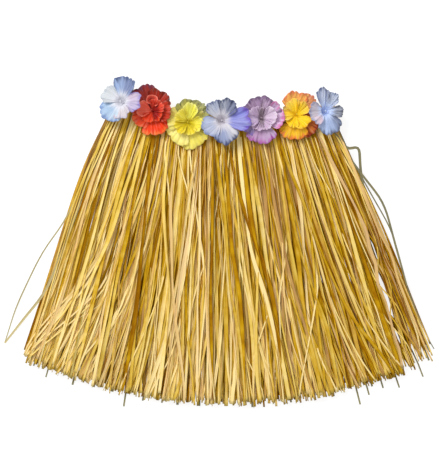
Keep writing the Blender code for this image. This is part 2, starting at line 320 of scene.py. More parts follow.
@dataclass(frozen=True)
class PetalFinish:
    """Thin dyed polyester: heat-set pleats with painted shade in their troughs and a painted highlight on
    their crests, a fine weave and colour that runs towards the edge.
    """

    name: str
    roughness: float = 0.62
    vein_height: float = 0.35 * MM
    weave_per_metre: float = 2600.0

    def build(self) -> bpy.types.Material:
        """Return the material."""
        bench = MaterialBench(self.name)
        colour = bench.attribute("dye", "Color")
        turn_x, turn_y, reach = (bench.attribute(name) for name in ("turn_x", "turn_y", "reach"))
        pleats = bench.noise(bench.place(turn_x * 9.0, turn_y * 9.0, reach * 0.9), 1.5, 3.0, 0.6)
        blotches = bench.noise(bench.place(turn_x * 2.0, turn_y * 2.0, reach * 3.0), 1.3, 2.0)
        # Painted shade and highlight: the colour darkens in the pleats' troughs and pales on their crests;
        # the blotches darken it at random, as uneven dye.
        deeper = bench.blend(colour, colour, 0.75, "MULTIPLY")
        shaded = bench.blend(colour, deeper, bench.stretch(pleats, 0.52, 0.30, 0.0, 0.42))
        pleat_highlight = bench.blend(shaded, (1.0, 1.0, 1.0, 1.0), 0.10)
        shaded = bench.blend(shaded, pleat_highlight, bench.stretch(pleats, 0.52, 0.72, 0.0, 1.0))
        shaded = bench.blend(shaded, deeper, bench.stretch(blotches, 0.5, 0.75, 0.0, 0.16))
        height = pleats + bench.noise(bench.spot(), self.weave_per_metre, 1.0) * 0.12
        return bench.finish(
            {
                "Base Color": shaded,
                "Roughness": bench.stretch(pleats, 0.3, 0.7, self.roughness - 0.08, self.roughness + 0.1),
                "Normal": bench.bump(height, self.vein_height, 0.5),
                "Sheen Weight": 0.06,
                "Sheen Roughness": 0.4,
                "Specular IOR Level": 0.18,
            }
        )


@dataclass(frozen=True)
class BandFinish:
    """Woven elastic: ribs along the band, a crosswise weave, yarn that varies a little and painted shade
    in the hollows of the weave.
    """

    name: str = "straw-coloured woven elastic"
    yarn: Colour = dye(214, 186, 128)
    dark_yarn_and_hollow_shade: Colour = dye(164, 130, 74)
    ribs: float = 14.0
    picks_per_metre: float = 900.0

    def build(self) -> bpy.types.Material:
        """Return the material."""
        bench = MaterialBench(self.name)
        run, rise = bench.attribute("run"), bench.attribute("rise")
        rib = bench.maths("SINE", rise * (self.ribs * TURN))
        pick = bench.maths("SINE", run * (self.picks_per_metre * TURN))
        yarn = bench.noise(bench.place(run * 60.0, rise * 3.0, 0.0), 4.0, 3.0)
        height = rib * 0.35 + pick * 0.15 + yarn * 0.4 + 0.5
        # Partly painted shade: the band darkens in the hollows between ribs and picks; the yarn noise adds
        # the yarn's own unevenness.
        colour = bench.blend(self.dark_yarn_and_hollow_shade, self.yarn, bench.stretch(height, 0.2, 0.95, 0.0, 1.0))
        return bench.finish(
            {
                "Base Color": colour,
                "Roughness": 0.85,
                "Normal": bench.bump(height, 0.3 * MM, 0.8),
                "Sheen Weight": 0.2,
            }
        )


@dataclass(frozen=True)
class PlainFinish:
    """A surface with a fine mottle, for thread, flower centres and the table."""

    name: str
    colour: Colour
    second: Colour
    roughness: float
    grain_per_metre: float
    depth: float
    glow: float = 0.0

    def build(self) -> bpy.types.Material:
        """Return the material."""
        bench = MaterialBench(self.name)
        grain = bench.noise(bench.spot(), self.grain_per_metre)
        mottled = bench.blend(self.second, self.colour, bench.stretch(grain, 0.35, 0.6, 0.0, 1.0))
        return bench.finish(
            {
                "Base Color": mottled,
                "Roughness": self.roughness,
                "Normal": bench.bump(grain, self.depth, 0.4),
                "Emission Color": self.colour,
                "Emission Strength": self.glow,
            }
        )


class Slot(Enum):
    """Material slots of the record."""

    RAFFIA = "raffia"
    BAND = "band"
    BLUE = "blue"
    RED = "red"
    YELLOW = "yellow"
    VIOLET = "violet"
    ORANGE = "orange"
    PISTIL = "pistil"


def seat(piece: bpy.types.Object, nodes: Iterable[str]) -> bpy.types.Object:
    """Tie a finished piece to the frame.

    Args:
        piece: The piece, at the origin.
        nodes: The solids it stands for.

    Returns:
        The piece.
    """
    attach(piece, BODY)
    names = list(nodes)
    if names:
        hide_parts(*names)
    LOG.info("%s: %d faces", piece.name, len(piece.data.polygons))
    return piece


def add_piece(name: str, mesh: bpy.types.Mesh) -> bpy.types.Object:
    """Put a mesh in the scene under its name.

    Args:
        name: The piece's name.
        mesh: Its mesh.

    Returns:
        The piece.
    """
    mesh.name = name
    piece = bpy.data.objects.new(name, mesh)
    bpy.context.scene.collection.objects.link(piece)
    return piece


def mark(mesh: bpy.types.Mesh, values: dict[str, Array]) -> None:
    """Write numbers on a mesh's points.

    Args:
        mesh: The mesh.
        values: The numbers of all its points, by name.
    """
    for key, value in values.items():
        layer = mesh.attributes.new(key, "FLOAT", "POINT")
        layer.data.foreach_set("value", value.astype(np.float32).ravel())


def plain_mesh(carrier: bpy.types.Object) -> bpy.types.Mesh:
    """Take a carrier's mesh as its modifiers leave it, and take the carrier away.

    Args:
        carrier: The object.

    Returns:
        The finished mesh.
    """
    graph = bpy.context.evaluated_depsgraph_get()
    mesh = bpy.data.meshes.new_from_object(
        carrier.evaluated_get(graph), preserve_all_data_layers=True, depsgraph=graph
    )
    carrier.modifiers.clear()
    bpy.data.objects.remove(carrier)
    return mesh


def line_mesh(name: str, points: Array, values: dict[str, Array]) -> bpy.types.Mesh:
    """Make a mesh of open lines.

    Args:
        name: The mesh's name.
        points: Places, as lines x stations x 3.
        values: Attributes, each as lines x stations.

    Returns:
        A mesh with one chain of edges for each line.
    """
    lines, stations, _ = points.shape
    mesh = bpy.data.meshes.new(name)
    mesh.vertices.add(lines * stations)
    mesh.vertices.foreach_set("co", points.astype(np.float32).ravel())
    index = np.arange(lines * stations).reshape(lines, stations)
    edges = np.stack([index[:, :-1], index[:, 1:]], axis=-1).reshape(-1, 2)
    mesh.edges.add(len(edges))
    mesh.edges.foreach_set("vertices", edges.ravel().astype(np.int32))
    mark(mesh, values)
    mesh.update()
    return mesh


class GeometryBench(NodeBench):
    """Builds one Geometry Nodes tree with named inputs."""

    def __init__(self, name: str) -> None:
        """Start a tree that takes and gives geometry.

        Args:
            name: Its name.
        """
        super().__init__(bpy.data.node_groups.new(name, "GeometryNodeTree"))
        self.tree.is_modifier = True
        for way in ("OUTPUT", "INPUT"):
            self.tree.interface.new_socket("Geometry", in_out=way, socket_type="NodeSocketGeometry")
        self.start = self.tree.nodes.new("NodeGroupInput")
        self.end = self.tree.nodes.new("NodeGroupOutput")
        self.identifiers: dict[str, str] = {}

    def size(self, name: str, kind: str, default: Any) -> Wire:
        """Add a named input.

        Args:
            name: Its name.
            kind: Its socket's type.
            default: Its usual value.

        Returns:
            The input.
        """
        item = self.tree.interface.new_socket(name, in_out="INPUT", socket_type=kind)
        item.default_value = default
        self.identifiers[name] = item.identifier
        return Wire(self, self.start.outputs[name])

    def read(self, name: str) -> Wire:
        """Read a number written on the points."""
        return self.wire("GeometryNodeInputNamedAttribute", {"data_type": "FLOAT"}, {0: name})

    def close(self, geometry: Wire, material: bpy.types.Material) -> None:
        """End the tree.

        Args:
            geometry: What it has made.
            material: The finish that it gives.
        """
        real = self.wire("GeometryNodeRealizeInstances", {}, {0: geometry})
        dressed = self.wire("GeometryNodeSetMaterial", {}, {0: real, "Material": material})
        self.tree.links.new(dressed.socket, self.end.inputs[0])

    def run(self, name: str, source: bpy.types.Mesh, sizes: dict[str, Any]) -> bpy.types.Object:
        """Run the tree over a mesh.

        Args:
            name: The new piece's name.
            source: The mesh that the tree works on.
            sizes: Values of the named inputs.

        Returns:
            A plain mesh piece.
        """
        carrier = add_piece(name + "_guide", source)
        modifier = carrier.modifiers.new("nodes", "NODES")
        modifier.node_group = self.tree
        for key, value in sizes.items():
            modifier[self.identifiers[key]] = value
        return add_piece(name, plain_mesh(carrier))


class StrandLoom(GeometryBench):
    """Sweeps a thin folded ribbon of straw along each guide line."""

    def __init__(self, material: bpy.types.Material) -> None:
        """Build the tree.

        Args:
            material: The finish of its straw or thread.
        """
        super().__init__("raffia strands")
        sides = self.size("Ribbon sides", "NodeSocketInt", 8)
        thin = self.size("Thickness share", "NodeSocketFloat", 0.2)
        fold = self.size("Fold depth", "NodeSocketFloat", 0.35)
        lines = self.wire("GeometryNodeMeshToCurve", {}, {0: self.start.outputs[0]})
        level = self.wire("GeometryNodeSetCurveNormal", {"mode": "Z_UP"}, {0: lines})
        tilted = self.wire("GeometryNodeSetCurveTilt", {}, {0: level, "Tilt": self.read("twist")})
        circle = self.wire(
            "GeometryNodeCurvePrimitiveCircle", {"mode": "RADIUS"}, {"Resolution": sides, "Radius": 1.0}
        )
        half_side = (0.0, 0.0, math.radians(30))
        ring = self.wire("GeometryNodeTransform", {}, {0: circle, "Rotation": half_side})
        place = self.wire("GeometryNodeInputPosition", {}, {})
        parts = self.node("ShaderNodeSeparateXYZ", {}, {0: place}).outputs
        across, rise = Wire(self, parts[0]), Wire(self, parts[1])
        height = rise * thin - self.maths("ABSOLUTE", across) * fold
        bent = self.wire("ShaderNodeCombineXYZ", {}, {0: across, 1: height})
        marked = self.wire(
            "GeometryNodeStoreNamedAttribute", {"data_type": "FLOAT", "domain": "POINT"},
            {0: ring, "Name": "across", "Value": across},
        )
        profile = self.wire("GeometryNodeSetPosition", {}, {0: marked, "Position": bent})
        swept = self.wire(
            "GeometryNodeCurveToMesh", {},
            {0: tilted, 1: profile, "Scale": self.read("half_width"), "Fill Caps": True},
        )
        self.close(
            self.wire("GeometryNodeSetShadeSmooth", {}, {0: swept, "Shade Smooth": False}), material
        )


@dataclass(frozen=True)
class Parting:
    """A slit in the straw where the table shows: its line across and its reach down the skirt."""

    across: float
    start: float
    end: float
    half_width: float


PARTINGS = tuple(
    Parting(*row)
    for row in (
        (0.968, 0.52, 0.63, 0.024), (0.905, 0.48, 0.60, 0.026), (0.886, 0.60, 0.74, 0.028),
        (0.882, 0.735, 0.815, 0.026), (0.872, 0.81, 0.92, 0.022), (0.905, 0.85, 0.95, 0.018),
        (0.862, 0.91, 1.09, 0.021), (0.920, 0.89, 1.09, 0.024), (0.958, 0.92, 1.09, 0.022),
    )
)

TONE_ACROSS = (-0.75, 0.0, 0.75)
TONE_SHARE = (0.15, 0.55, 0.85)
TONE_MAP = ((-0.13, -0.39, -0.33), (-0.09, -0.12, -0.37), (0.16, 0.08, -0.28))


def local_tone(across: Array, share: Array) -> Array:
    """Make the straw lighter or darker in each part of the skirt.

    Args:
        across: Where the points lie.
        share: How far down the skirt they are.

    Returns:
        The change of tone.
    """
    top, middle, bottom = TONE_SHARE
    rows = [np.interp(across, TONE_ACROSS, row) for row in TONE_MAP]
    upper = mix(rows[0], rows[1], np.clip((share - top) / (middle - top), 0, 1))
    return mix(upper, rows[2], np.clip((share - middle) / (bottom - middle), 0, 1))


def part_straw(across: Array, share: Array, home: Array) -> Array:
    """Keep strands on their own side of every slit.

    Args:
        across: Where the strands lie.
        share: How far down the skirt each point is.
        home: Where each strand belongs, which decides its side.

    Returns:
        The strands' new places.
    """
    moved = across.copy()
    for slit in PARTINGS:
        middle, half = (slit.start + slit.end) / 2, (slit.end - slit.start) / 2
        window = np.clip(1 - ((share - middle) / half) ** 2, -2.0, 1)
        reach = slit.half_width * window - 0.03 * np.clip(-window, 0, 2)
        to_left = np.minimum(moved, slit.across - reach)
        moved = np.where(home < slit.across, to_left, np.maximum(moved, slit.across + reach))
    moved[:, 1:-1] = (moved[:, :-2] + 2 * moved[:, 1:-1] + moved[:, 2:]) / 4
    return moved


class Draws:
    """Random numbers for the strands of one round, drawn in a fixed order."""

    def __init__(self, seed: int, strands: int, tufts: int) -> None:
        """Seed the numbers and deal the strands out to the tufts.

        Args:
            seed: The round's own seed.
            strands: How many strands it has.
            tufts: How many tufts.
        """
        self.rng = np.random.default_rng(seed)
        self.strands, self.tufts = strands, tufts
        self.tuft = np.arange(strands) * tufts // strands

    def each(self, low: float, high: float) -> Array:
        """One number for each strand."""
        return self.rng.uniform(low, high, (self.strands, 1))

    def shared(self, low: float, high: float) -> Array:
        """One number for each tuft, given to its strands."""
        return self.rng.uniform(low, high, self.tufts)[self.tuft][:, None]

    def bell(self, size: float) -> Array:
        """One bell-shaped number for each strand."""
        return size * self.rng.normal(0, 1, (self.strands, 1))

    def shared_bell(self, size: float) -> Array:
        """One bell-shaped number for each tuft, given to its strands."""
        return size * self.rng.normal(0, 1, self.tufts)[self.tuft][:, None]

    def chance(self) -> Array:
        """One number from 0 to 1 for each strand, to pick some of them by."""
        return self.rng.random((self.strands, 1))

    def wave(self, share: Array, low: float, high: float) -> Array:
        """A wave along each strand, of low to high turns in all."""
        return np.sin(2 * np.pi * (share * self.each(low, high) + self.each(0, 1)))

    def drift(self, share: Array, size: Any, knots: int = 8) -> Array:
        """Stray sideways in straight runs that bend a little at a few knots.

        Args:
            share: How far down the skirt each point is.
            size: How far a strand strays.
            knots: Number of bends.

        Returns:
            How far each point has strayed.
        """
        places = np.linspace(0, 1.06, knots)
        slope = self.rng.normal(0, 1, (len(share), knots))
        for i in range(1, knots):
            slope[:, i] = 0.72 * slope[:, i - 1] + 0.69 * slope[:, i]
        strays = np.cumsum(slope * smooth(0.0, 0.20, places)[None, :], axis=1) * size
        strays = np.clip(strays, -MOST_DRIFT, MOST_DRIFT)
        out = np.stack([np.interp(row, places, knot) for row, knot in zip(share, strays)])
        out[:, 1:-1] = (out[:, :-2] + 2 * out[:, 1:-1] + out[:, 2:]) / 4
        return out


@dataclass(frozen=True)
class RaffiaRound:
    """One sewn round of raffia: strands that hang in tufts from the stitched head."""

    node: str
    tufts: int
    strands: int
    head: float
    floor: float
    depth: float
    lean: float
    lean_spread: float
    wild_share: float
    half_width: float
    tone: float
    seed: int
    reach: float = 0.985
    gather: tuple[float, float] = (0.25, 1.0)
    tuft_share: float = 1.0
    ends: tuple[float, float] = (-0.030, -0.004)
    wild_size: float = 0.045
    plain: bool = True
    over_band: float = 0.0
    sweep: tuple[float, float] = (0.0, 0.0)

    def course(self, draw: Draws, run: Array, wild: Array) -> tuple[Array, Array]:
        """Lead every strand down the skirt.

        Args:
            draw: The round's random numbers.
            run: Each point's place along its strand.
            wild: Which strands stray far.

        Returns:
            Where each point lies across the skirt, and its share of the skirt's length.
        """
        tufts = self.tufts
        centre = ((draw.tuft + 0.5) / tufts * 2 - 1)[:, None] * self.reach
        centre = centre + draw.shared(-0.45, 0.45) / tufts
        inward = 1 - np.abs(centre) ** 3
        lean = self.lean + draw.shared_bell(self.lean_spread)
        sweep = self.sweep[0] * np.exp(-(((centre + 0.50) / 0.28) ** 2))
        sweep = sweep + self.sweep[1] * np.exp(-(((centre - 0.55) / 0.26) ** 2))
        end = 1 + draw.each(*self.ends) + draw.shared(-0.008, 0.008)
        end = end - 0.050 * smooth(0.86, 1.0, centre)
        share = mix(HEAD_SHARE, end, run)
        down = np.clip(share, 0, 2)
        tight = mix(1.15, draw.shared(*self.gather), smooth(0.2, 0.9, share))
        home = centre + draw.each(-1.0, 1.0) * (self.tuft_share / tufts)
        across = centre + (home - centre) * mix(1.15, tight, 0.9) + lean * inward * down**1.25
        across = across + sweep * draw.each(0.0, 1.3) * down**2.2
        together = draw.drift(np.repeat(share[:1], tufts, axis=0), 0.005)
        across = across + together[draw.tuft] * inward
        alone = draw.drift(share, np.where(wild, self.wild_size, 0.0055))
        across = across + alone * np.where(wild, inward * 0.9 + 0.1, 1.0)
        across = across + draw.drift(share, 0.0035, 15) * inward
        side = (1.012 if self.reach > 0.95 else 0.975) - 0.012 * draw.each(0, 1)
        return part_straw(np.clip(across, -side, side), share, home), share

    def ribbon(self, draw: Draws, run: Array, share: Array) -> tuple[Array, Array]:
        """Cut every strand's ribbon.

        Args:
            draw: The round's random numbers.
            run: Each point's place along its strand.
            share: Each point's share of the skirt's length.

        Returns:
            The ribbons' half width and twist.
        """
        half = np.clip(self.half_width * np.exp(draw.bell(0.40)), 0.7 * MM, 3.1 * MM)
        half = half * mix(0.72, 1.0, smooth(0.02, 0.32, share))
        half = half * mix(1.0, draw.each(0.65, 1.0), smooth(0.85, 1.0, run))
        half = half * (1 + 0.26 * draw.wave(share, 0.8, 2.6))
        twist = draw.bell(0.36) + draw.each(-0.5, 0.5) * draw.wave(share, 0.4, 1.6)
        rolled = draw.chance() < 0.14
        twist = twist + rolled * draw.each(-2.2, 2.2) * smooth(0.1, 0.9, share)
        if self.floor < 2 * MM:
            twist = np.clip(twist, -0.4, 0.4)
        return half, twist

    def lines(self, plan: SkirtPlan, stations: int) -> Marked:
        """Work out the middle line of every strand.

        Args:
            plan: The skirt's outline.
            stations: Points on each line.

        Returns:
            The lines' points and their attributes.
        """
        draw = Draws(self.seed, self.strands, self.tufts)
        run = np.linspace(0, 1, stations)[None, :] ** 0.94
        wild = draw.chance() < self.wild_share
        across, share = self.course(draw, run, wild)
        half, twist = self.ribbon(draw, run, share)
        level = np.where(wild, draw.each(0.6, 1.0), 0.45 * draw.shared(0, 1) + 0.55 * draw.each(0, 1))
        level = np.clip(level + 0.14 * draw.wave(share, 0.5, 1.6), 0, 1)
        raised = draw.chance() < self.over_band
        head = np.where(raised, BAND_TOP + 0.25 * MM * draw.each(0, 1), self.head)
        height = mix(head, self.floor + self.depth * level, smooth(0.03, 0.15, share))
        height = height + half * np.abs(np.sin(twist)) * 0.6 + 0.45 * half
        x, y = plan.point(across, share)
        spread = draw.shared_bell(0.10) + draw.bell(0.21)
        # Painted shade: strands that lie lower in the round get a darker tone.
        spread = (spread + 0.50 * (level - 0.5)) * mix(1.5, 1.12, smooth(0.05, 0.75, share))
        tone = np.clip(self.tone + spread + local_tone(across, share), 0.02, 0.98)
        tint = np.clip(0.55 * draw.shared(0, 1) + 0.45 * draw.each(0, 1) + 0 * share, 0.15, 0.74)
        kind = draw.chance()
        if not self.plain:
            grey, tan = kind < 0.04, kind > 0.90
            half = half * np.where(grey, 0.5, 1.0)
            grey_tint = draw.each(0.08, 0.13)
            tint = np.where(grey, grey_tint, np.where(tan, draw.each(0.74, 0.9), tint)) + 0 * share
        values = {"half_width": half, "twist": twist, "tone": tone, "tint": tint, "along": run + 0 * share}
        return np.stack([x, y, height], axis=-1), values


def ribbon_values(run: Array, **values: Any) -> dict[str, Array]:
    """Give one strand's attributes a value at each of its stations."""
    return {key: value + 0 * run for key, value in values.items()}


@dataclass(frozen=True)
class LooseStrand:
    """A strand that strays from the skirt, through given points in millimetres."""

    points: tuple[tuple[float, float, float], ...]
    half_width: float
    tone: float
    tint: float
    twist: float = 0.3

    def line(self, stations: int) -> Marked:
        """Smooth the points into an even line.

        Args:
            stations: Points on the line.

        Returns:
            The line's points and their attributes.
        """
        raw = np.array(self.points, float) * MM
        step = np.r_[0, np.cumsum(np.linalg.norm(np.diff(raw, axis=0), axis=1))]
        fine = np.linspace(0, step[-1], stations)
        line = np.stack([np.interp(fine, step, raw[:, axis]) for axis in range(3)], axis=-1)
        for _ in range(3):
            line[1:-1] = (line[:-2] + 2 * line[1:-1] + line[2:]) / 4
        run = np.linspace(0, 1, stations)
        return line, ribbon_values(
            run,
            half_width=self.half_width * MM * mix(1.0, 0.70, smooth(0.8, 1.0, run)),
            twist=self.twist * np.sin(run * 7.0),
            tone=self.tone,
            tint=self.tint,
            along=run * 0.97,
        )


@dataclass(frozen=True)
class PaleStrand:
    """A pale strand that shows on top of the straw along its path, and lies under it elsewhere.

    The path gives places across and down the skirt, in thousandths of what SkirtPlan.point takes.
    """

    path: tuple[tuple[int, int], ...]
    half_width: float = 1.1
    tone: float = 0.86
    tint: float = 0.45
    top: float = 15.4

    def line(self, plan: SkirtPlan, stations: int) -> Marked:
        """Lay the strand from its stitched head to its end.

        Args:
            plan: The skirt's outline.
            stations: Points on the line.

        Returns:
            The line's points and their attributes.
        """
        path = [(across / 1000, share / 1000) for across, share in self.path]
        (first, begin), (last, finish) = path[0], path[-1]
        places = [(first * 0.97, -0.02), *path, (last, max(0.985, finish + 0.01))]
        run = np.linspace(0, 1, stations)
        share = mix(-0.02, places[-1][1], run)
        across = np.interp(share, [place[1] for place in places], [place[0] for place in places])
        across[1:-1] = (across[:-2] + 2 * across[1:-1] + across[2:]) / 4
        shown = smooth(begin - 0.08, begin, share)
        shown = shown * (1 - smooth(finish + 0.01, finish + 0.08, share))
        x, y = plan.point(across, share)
        return np.stack([x, y, mix(9.6, self.top, shown) * MM], axis=-1), ribbon_values(
            run,
            half_width=self.half_width * MM * (1 + 0.18 * np.sin(run * 9.0 + first * 40)),
            twist=0.3 * np.sin(run * 6.0 + last * 30),
            tone=self.tone + 0.06 * np.sin(run * 8.0 + first * 50),
            tint=self.tint,
            along=run,
        )


@dataclass(frozen=True)
class LongEnd:
    """A strand of the lowest round that reaches past the hem."""

    across: float
    end: float
    half_width: float
    slant: float = 0.0

    def line(self, plan: SkirtPlan, stations: int) -> Marked:
        """Lay the strand on the table from its stitched head to its end.

        Args:
            plan: The skirt's outline.
            stations: Points on the line.

        Returns:
            The line's points and their attributes.
        """
        run = np.linspace(0, 1, stations)
        share = mix(HEAD_SHARE, self.end, run)
        x, y = plan.point(self.across - self.slant * smooth(1.0, 0.85, share), share)
        height = mix(2.1 * MM, 0.9 * MM, smooth(0.03, 0.15, share))
        return np.stack([x, y, height], axis=-1), ribbon_values(
            run, half_width=self.half_width * MM, twist=0.0, tone=0.30, tint=0.0, along=0.9 * run
        )


@dataclass(frozen=True)
class Petal:
    """One petal: direction and half-angle in degrees, length and rise in millimetres, and colours, which
    are dyes with painted shade on many petals.
    """

    angle: float
    length: float
    rise: float
    span: float
    blade: Dye
    rim: Dye
    far_side: Dye | None = None
    curl: float = 0.0


def cloth_values(shade: Array, turn: Array, reach: Array) -> dict[str, Array]:
    """Name a grid of cloth's attributes.

    Args:
        shade: The dye of each point.
        turn: Its direction from the hub.
        reach: How far out it is.

    Returns:
        The attributes.
    """
    ones = np.ones(shade.shape[:2])
    return {
        "dye": shade, "turn_x": np.cos(turn) * ones, "turn_y": np.sin(turn) * ones, "reach": reach * ones
    }


@dataclass(frozen=True)
class PetalRound:
    """A round of petals cut from one piece of cloth and heat-set into ruffles."""

    node: str
    petals: tuple[Petal, ...]
    throat: Dye
    throat_at: tuple[float, float]
    throat_size: tuple[float, float]
    hub: float
    stem: float
    start: float
    ruffle: float
    fullness: float
    seed: int
    columns: int = 54
    rings: int = 18

    def outline(self, petal: Petal, across: Array, rng: np.random.Generator) -> tuple[Array, float]:
        """Cut a petal's scalloped rim.

        Args:
            petal: Its sizes.
            across: Its columns, from -1 to 1.
            rng: Source of its scallops.

        Returns:
            The length of each column, and the phase of the scallops.
        """
        lobe = (1 - np.abs(across) ** 2.6) ** 0.45
        bumps, phase = rng.uniform(2.2, 3.4), rng.uniform(0, math.pi)
        uneven = across + 0.10 * np.sin(5 * across + phase)
        scallop = np.abs(np.sin(uneven * bumps * math.pi / 1.15 + phase)) ** 0.6 - 0.62
        scallop = 0.075 * scallop
        for k in range(1, 5):
            scallop = scallop + 0.022 * np.sin(k * across * 1.9 + rng.uniform(*PHASES))
        return petal.length * mix(self.fullness, 1.0, lobe) * (1 + scallop * lobe) * MM, phase

    def relief(self, petal: Petal, across: Array, reach: Array, rng: np.random.Generator) -> Array:
        """Raise a petal into its camber, ruffles and pleats.

        Args:
            petal: Its sizes.
            across: Its columns, from -1 to 1.
            reach: Its rings, from 0 to 1.
            rng: Source of its ruffles.

        Returns:
            The height of each of its points over its foot.
        """
        waves = (rng.uniform(0.9, 1.4), rng.uniform(1.9, 2.6), rng.uniform(3.6, 5.0))
        ruffle = np.zeros((self.columns, self.rings))
        for wave, strength in zip(waves, (0.6, 0.6, 0.42)):
            phase = rng.uniform(*PHASES) + rng.uniform(-1, 1) * reach
            ruffle += strength * np.sin(math.pi * wave * across + phase)
        pleat = 0.32 * MM * np.sin(across * rng.uniform(26, 34) + rng.uniform(*PHASES)) * reach
        camber = rng.uniform(0.2, 1.2) * (1 - across**2) * reach * (1 - reach) * 9 * MM
        overlap = 1.1 * MM * across * smooth(0.1, 0.6, reach)
        height = (petal.rise * reach**1.6 + petal.curl * smooth(0.70, 1.0, reach)) * MM
        height = height + camber + overlap + pleat
        return height + ruffle * self.ruffle * (1 - 0.55 * across**4) * reach**1.7

    def shade(
        self, petal: Petal, across: Array, reach: Array, spot: Sequence[Array], phase: float
    ) -> Array:
        """Dye a petal, so that its throat, blade and rim run into each other.

        Args:
            petal: Its dyes.
            across: Its columns, from -1 to 1.
            reach: Its rings, from 0 to 1.
            spot: Its points' x and y.
            phase: Phase of its ragged rim.

        Returns:
            The colour of each of its points.
        """
        blade, rim, throat = (np.array(dye(*part)) for part in (petal.blade, petal.rim, self.throat))
        far = np.array(dye(*(petal.far_side or petal.blade)))
        # On some petals the far_side colour carries painted shade, which makes one side of the petal
        # darker.
        body = mix(blade, far, (smooth(-0.2, 0.8, across) + 0 * reach)[..., None])
        ragged = 0.05 * np.sin(across * 11 + phase) + 0.05 * np.sin(across * 27 + 2 * phase)
        edge = 0.92 * smooth(0.80, 1.0, reach + ragged)
        side = 0.22 * smooth(0.80, 1.0, np.abs(across)) * smooth(0.35, 0.8, reach)
        off = np.hypot(
            *((place / MM - at) / size for place, at, size in zip(spot, self.throat_at, self.throat_size))
        )
        uneven = 0.14 * np.sin(across * 19) + 0.10 * np.sin(across * 8 + phase)
        deep = smooth(0.55, 1.45, off + uneven)[..., None]
        return mix(mix(throat, body, deep), rim, np.maximum(edge, side)[..., None])

    def petal(self, petal: Petal, rng: np.random.Generator) -> Marked:
        """Shape one petal.

        Args:
            petal: Its sizes and dyes.
            rng: Source of its ruffles.

        Returns:
            Its points as columns x rings x 3, and its attributes.
        """
        across = np.linspace(-1, 1, self.columns)[:, None]
        reach = (np.linspace(0, 1, self.rings) ** 0.85)[None, :]
        length, phase = self.outline(petal, across, rng)
        radius = mix(self.hub * 0.25, length, reach)
        sway = math.radians(rng.uniform(-5, 5)) * reach**2
        turn = math.radians(petal.angle) + across * math.radians(petal.span) * mix(1.0, 0.94, reach) + sway
        height = self.relief(petal, across, reach, rng) + self.start
        height = height + self.stem * smooth(self.hub * 0.8, self.hub * 2.6, radius)
        x, y = radius * np.cos(turn), radius * np.sin(turn)
        shade = self.shade(petal, across, reach, (x, y), phase)
        return np.stack([x, y, height], axis=-1), cloth_values(shade, turn, reach)

    def build(self, place: Matrix, material: bpy.types.Material) -> bpy.types.Object:
        """Make the closed thin petals.

        Args:
            place: Where the flower sits and how it leans.
            material: The cloth's finish.

        Returns:
            The piece.
        """
        rng = np.random.default_rng(self.seed)
        made = [self.petal(petal, rng) for petal in self.petals]
        return cloth_piece(self.node + "_cloth", made, place, material)


@dataclass(frozen=True)
class CurledPetal:
    """A petal of an inner round that rolls up into a ring."""

    x: float
    y: float
    low: float
    radius: float
    blade: Dye
    rim: Dye
    heart: Dye
    turns: float = 1.35
    tall: float = 6.0

    def strip(self) -> Marked:
        """Wind the petal's strip from its outside to its heart.

        Returns:
            Its points and their attributes.
        """
        along = np.linspace(0, 1, 70)[:, None]
        across = np.linspace(0, 1, 12)[None, :]
        angle = math.radians(-60) + along * self.turns * 2 * math.pi
        outward = self.radius * mix(0.52, 1.0, across**1.2) * mix(1.0, 0.30, along)
        outward = outward + 0.35 * np.sin(along * 37) * across
        height = self.low + across * self.tall * mix(1.0, 0.55, along)
        height = height + 0.5 * np.sin(along * 23) * across**2
        x, y = self.x + outward * np.cos(angle), self.y + outward * np.sin(angle) * 0.92
        blade, rim, heart = (np.array(dye(*part)) for part in (self.blade, self.rim, self.heart))
        # Painted shade and highlight: the strip darkens towards the coil's heart, where its middle lies in
        # shade, and pales along its upper rim.
        body = mix(blade, heart, (along + 0 * across)[..., None])
        shade = mix(body, rim, smooth(0.5, 1.0, across + 0 * along)[..., None] * 0.8)
        return np.stack([x, y, height], axis=-1) * MM, cloth_values(shade, angle, across)


def cloth_piece(
    name: str,
    parts: Sequence[Marked],
    place: Matrix,
    material: bpy.types.Material,
) -> bpy.types.Object:
    """Join grids of cloth into one thin piece.

    Args:
        name: The piece's name.
        parts: Each part's points, as columns x rings x 3, and its attributes.
        place: Where the piece goes.
        material: Its finish.

    Returns:
        The piece, closed, facing outwards and in place.
    """
    verts, faces, start = [], [], 0
    for points, _ in parts:
        columns, rings, _ = points.shape
        index = start + np.arange(columns * rings).reshape(columns, rings)
        corners = (index[:-1, :-1], index[:-1, 1:], index[1:, 1:], index[1:, :-1])
        faces.append(np.stack(corners, axis=-1).reshape(-1, 4))
        verts.append(points.reshape(-1, 3))
        start += columns * rings
    mesh = bpy.data.meshes.new(name)
    mesh.from_pydata(np.vstack(verts).tolist(), [], np.vstack(faces).tolist())
    layer = mesh.attributes.new("dye", "FLOAT_COLOR", "POINT")
    colours = np.vstack([values["dye"].reshape(-1, 4) for _, values in parts])
    layer.data.foreach_set("color", colours.astype(np.float32).ravel())
    keys = ("turn_x", "turn_y", "reach")
    mark(mesh, {key: np.hstack([values[key].ravel() for _, values in parts]) for key in keys})
    mesh.update()
    mesh.shade_smooth()
    mesh.materials.append(material)
    carrier = add_piece(name + "_open", mesh)
    solid = carrier.modifiers.new("wall", "SOLIDIFY")
    solid.thickness, solid.offset = PETAL_WALL, -1
    closed = plain_mesh(carrier)
    closed.transform(place)
    closed.update()
    return add_piece(name, closed)


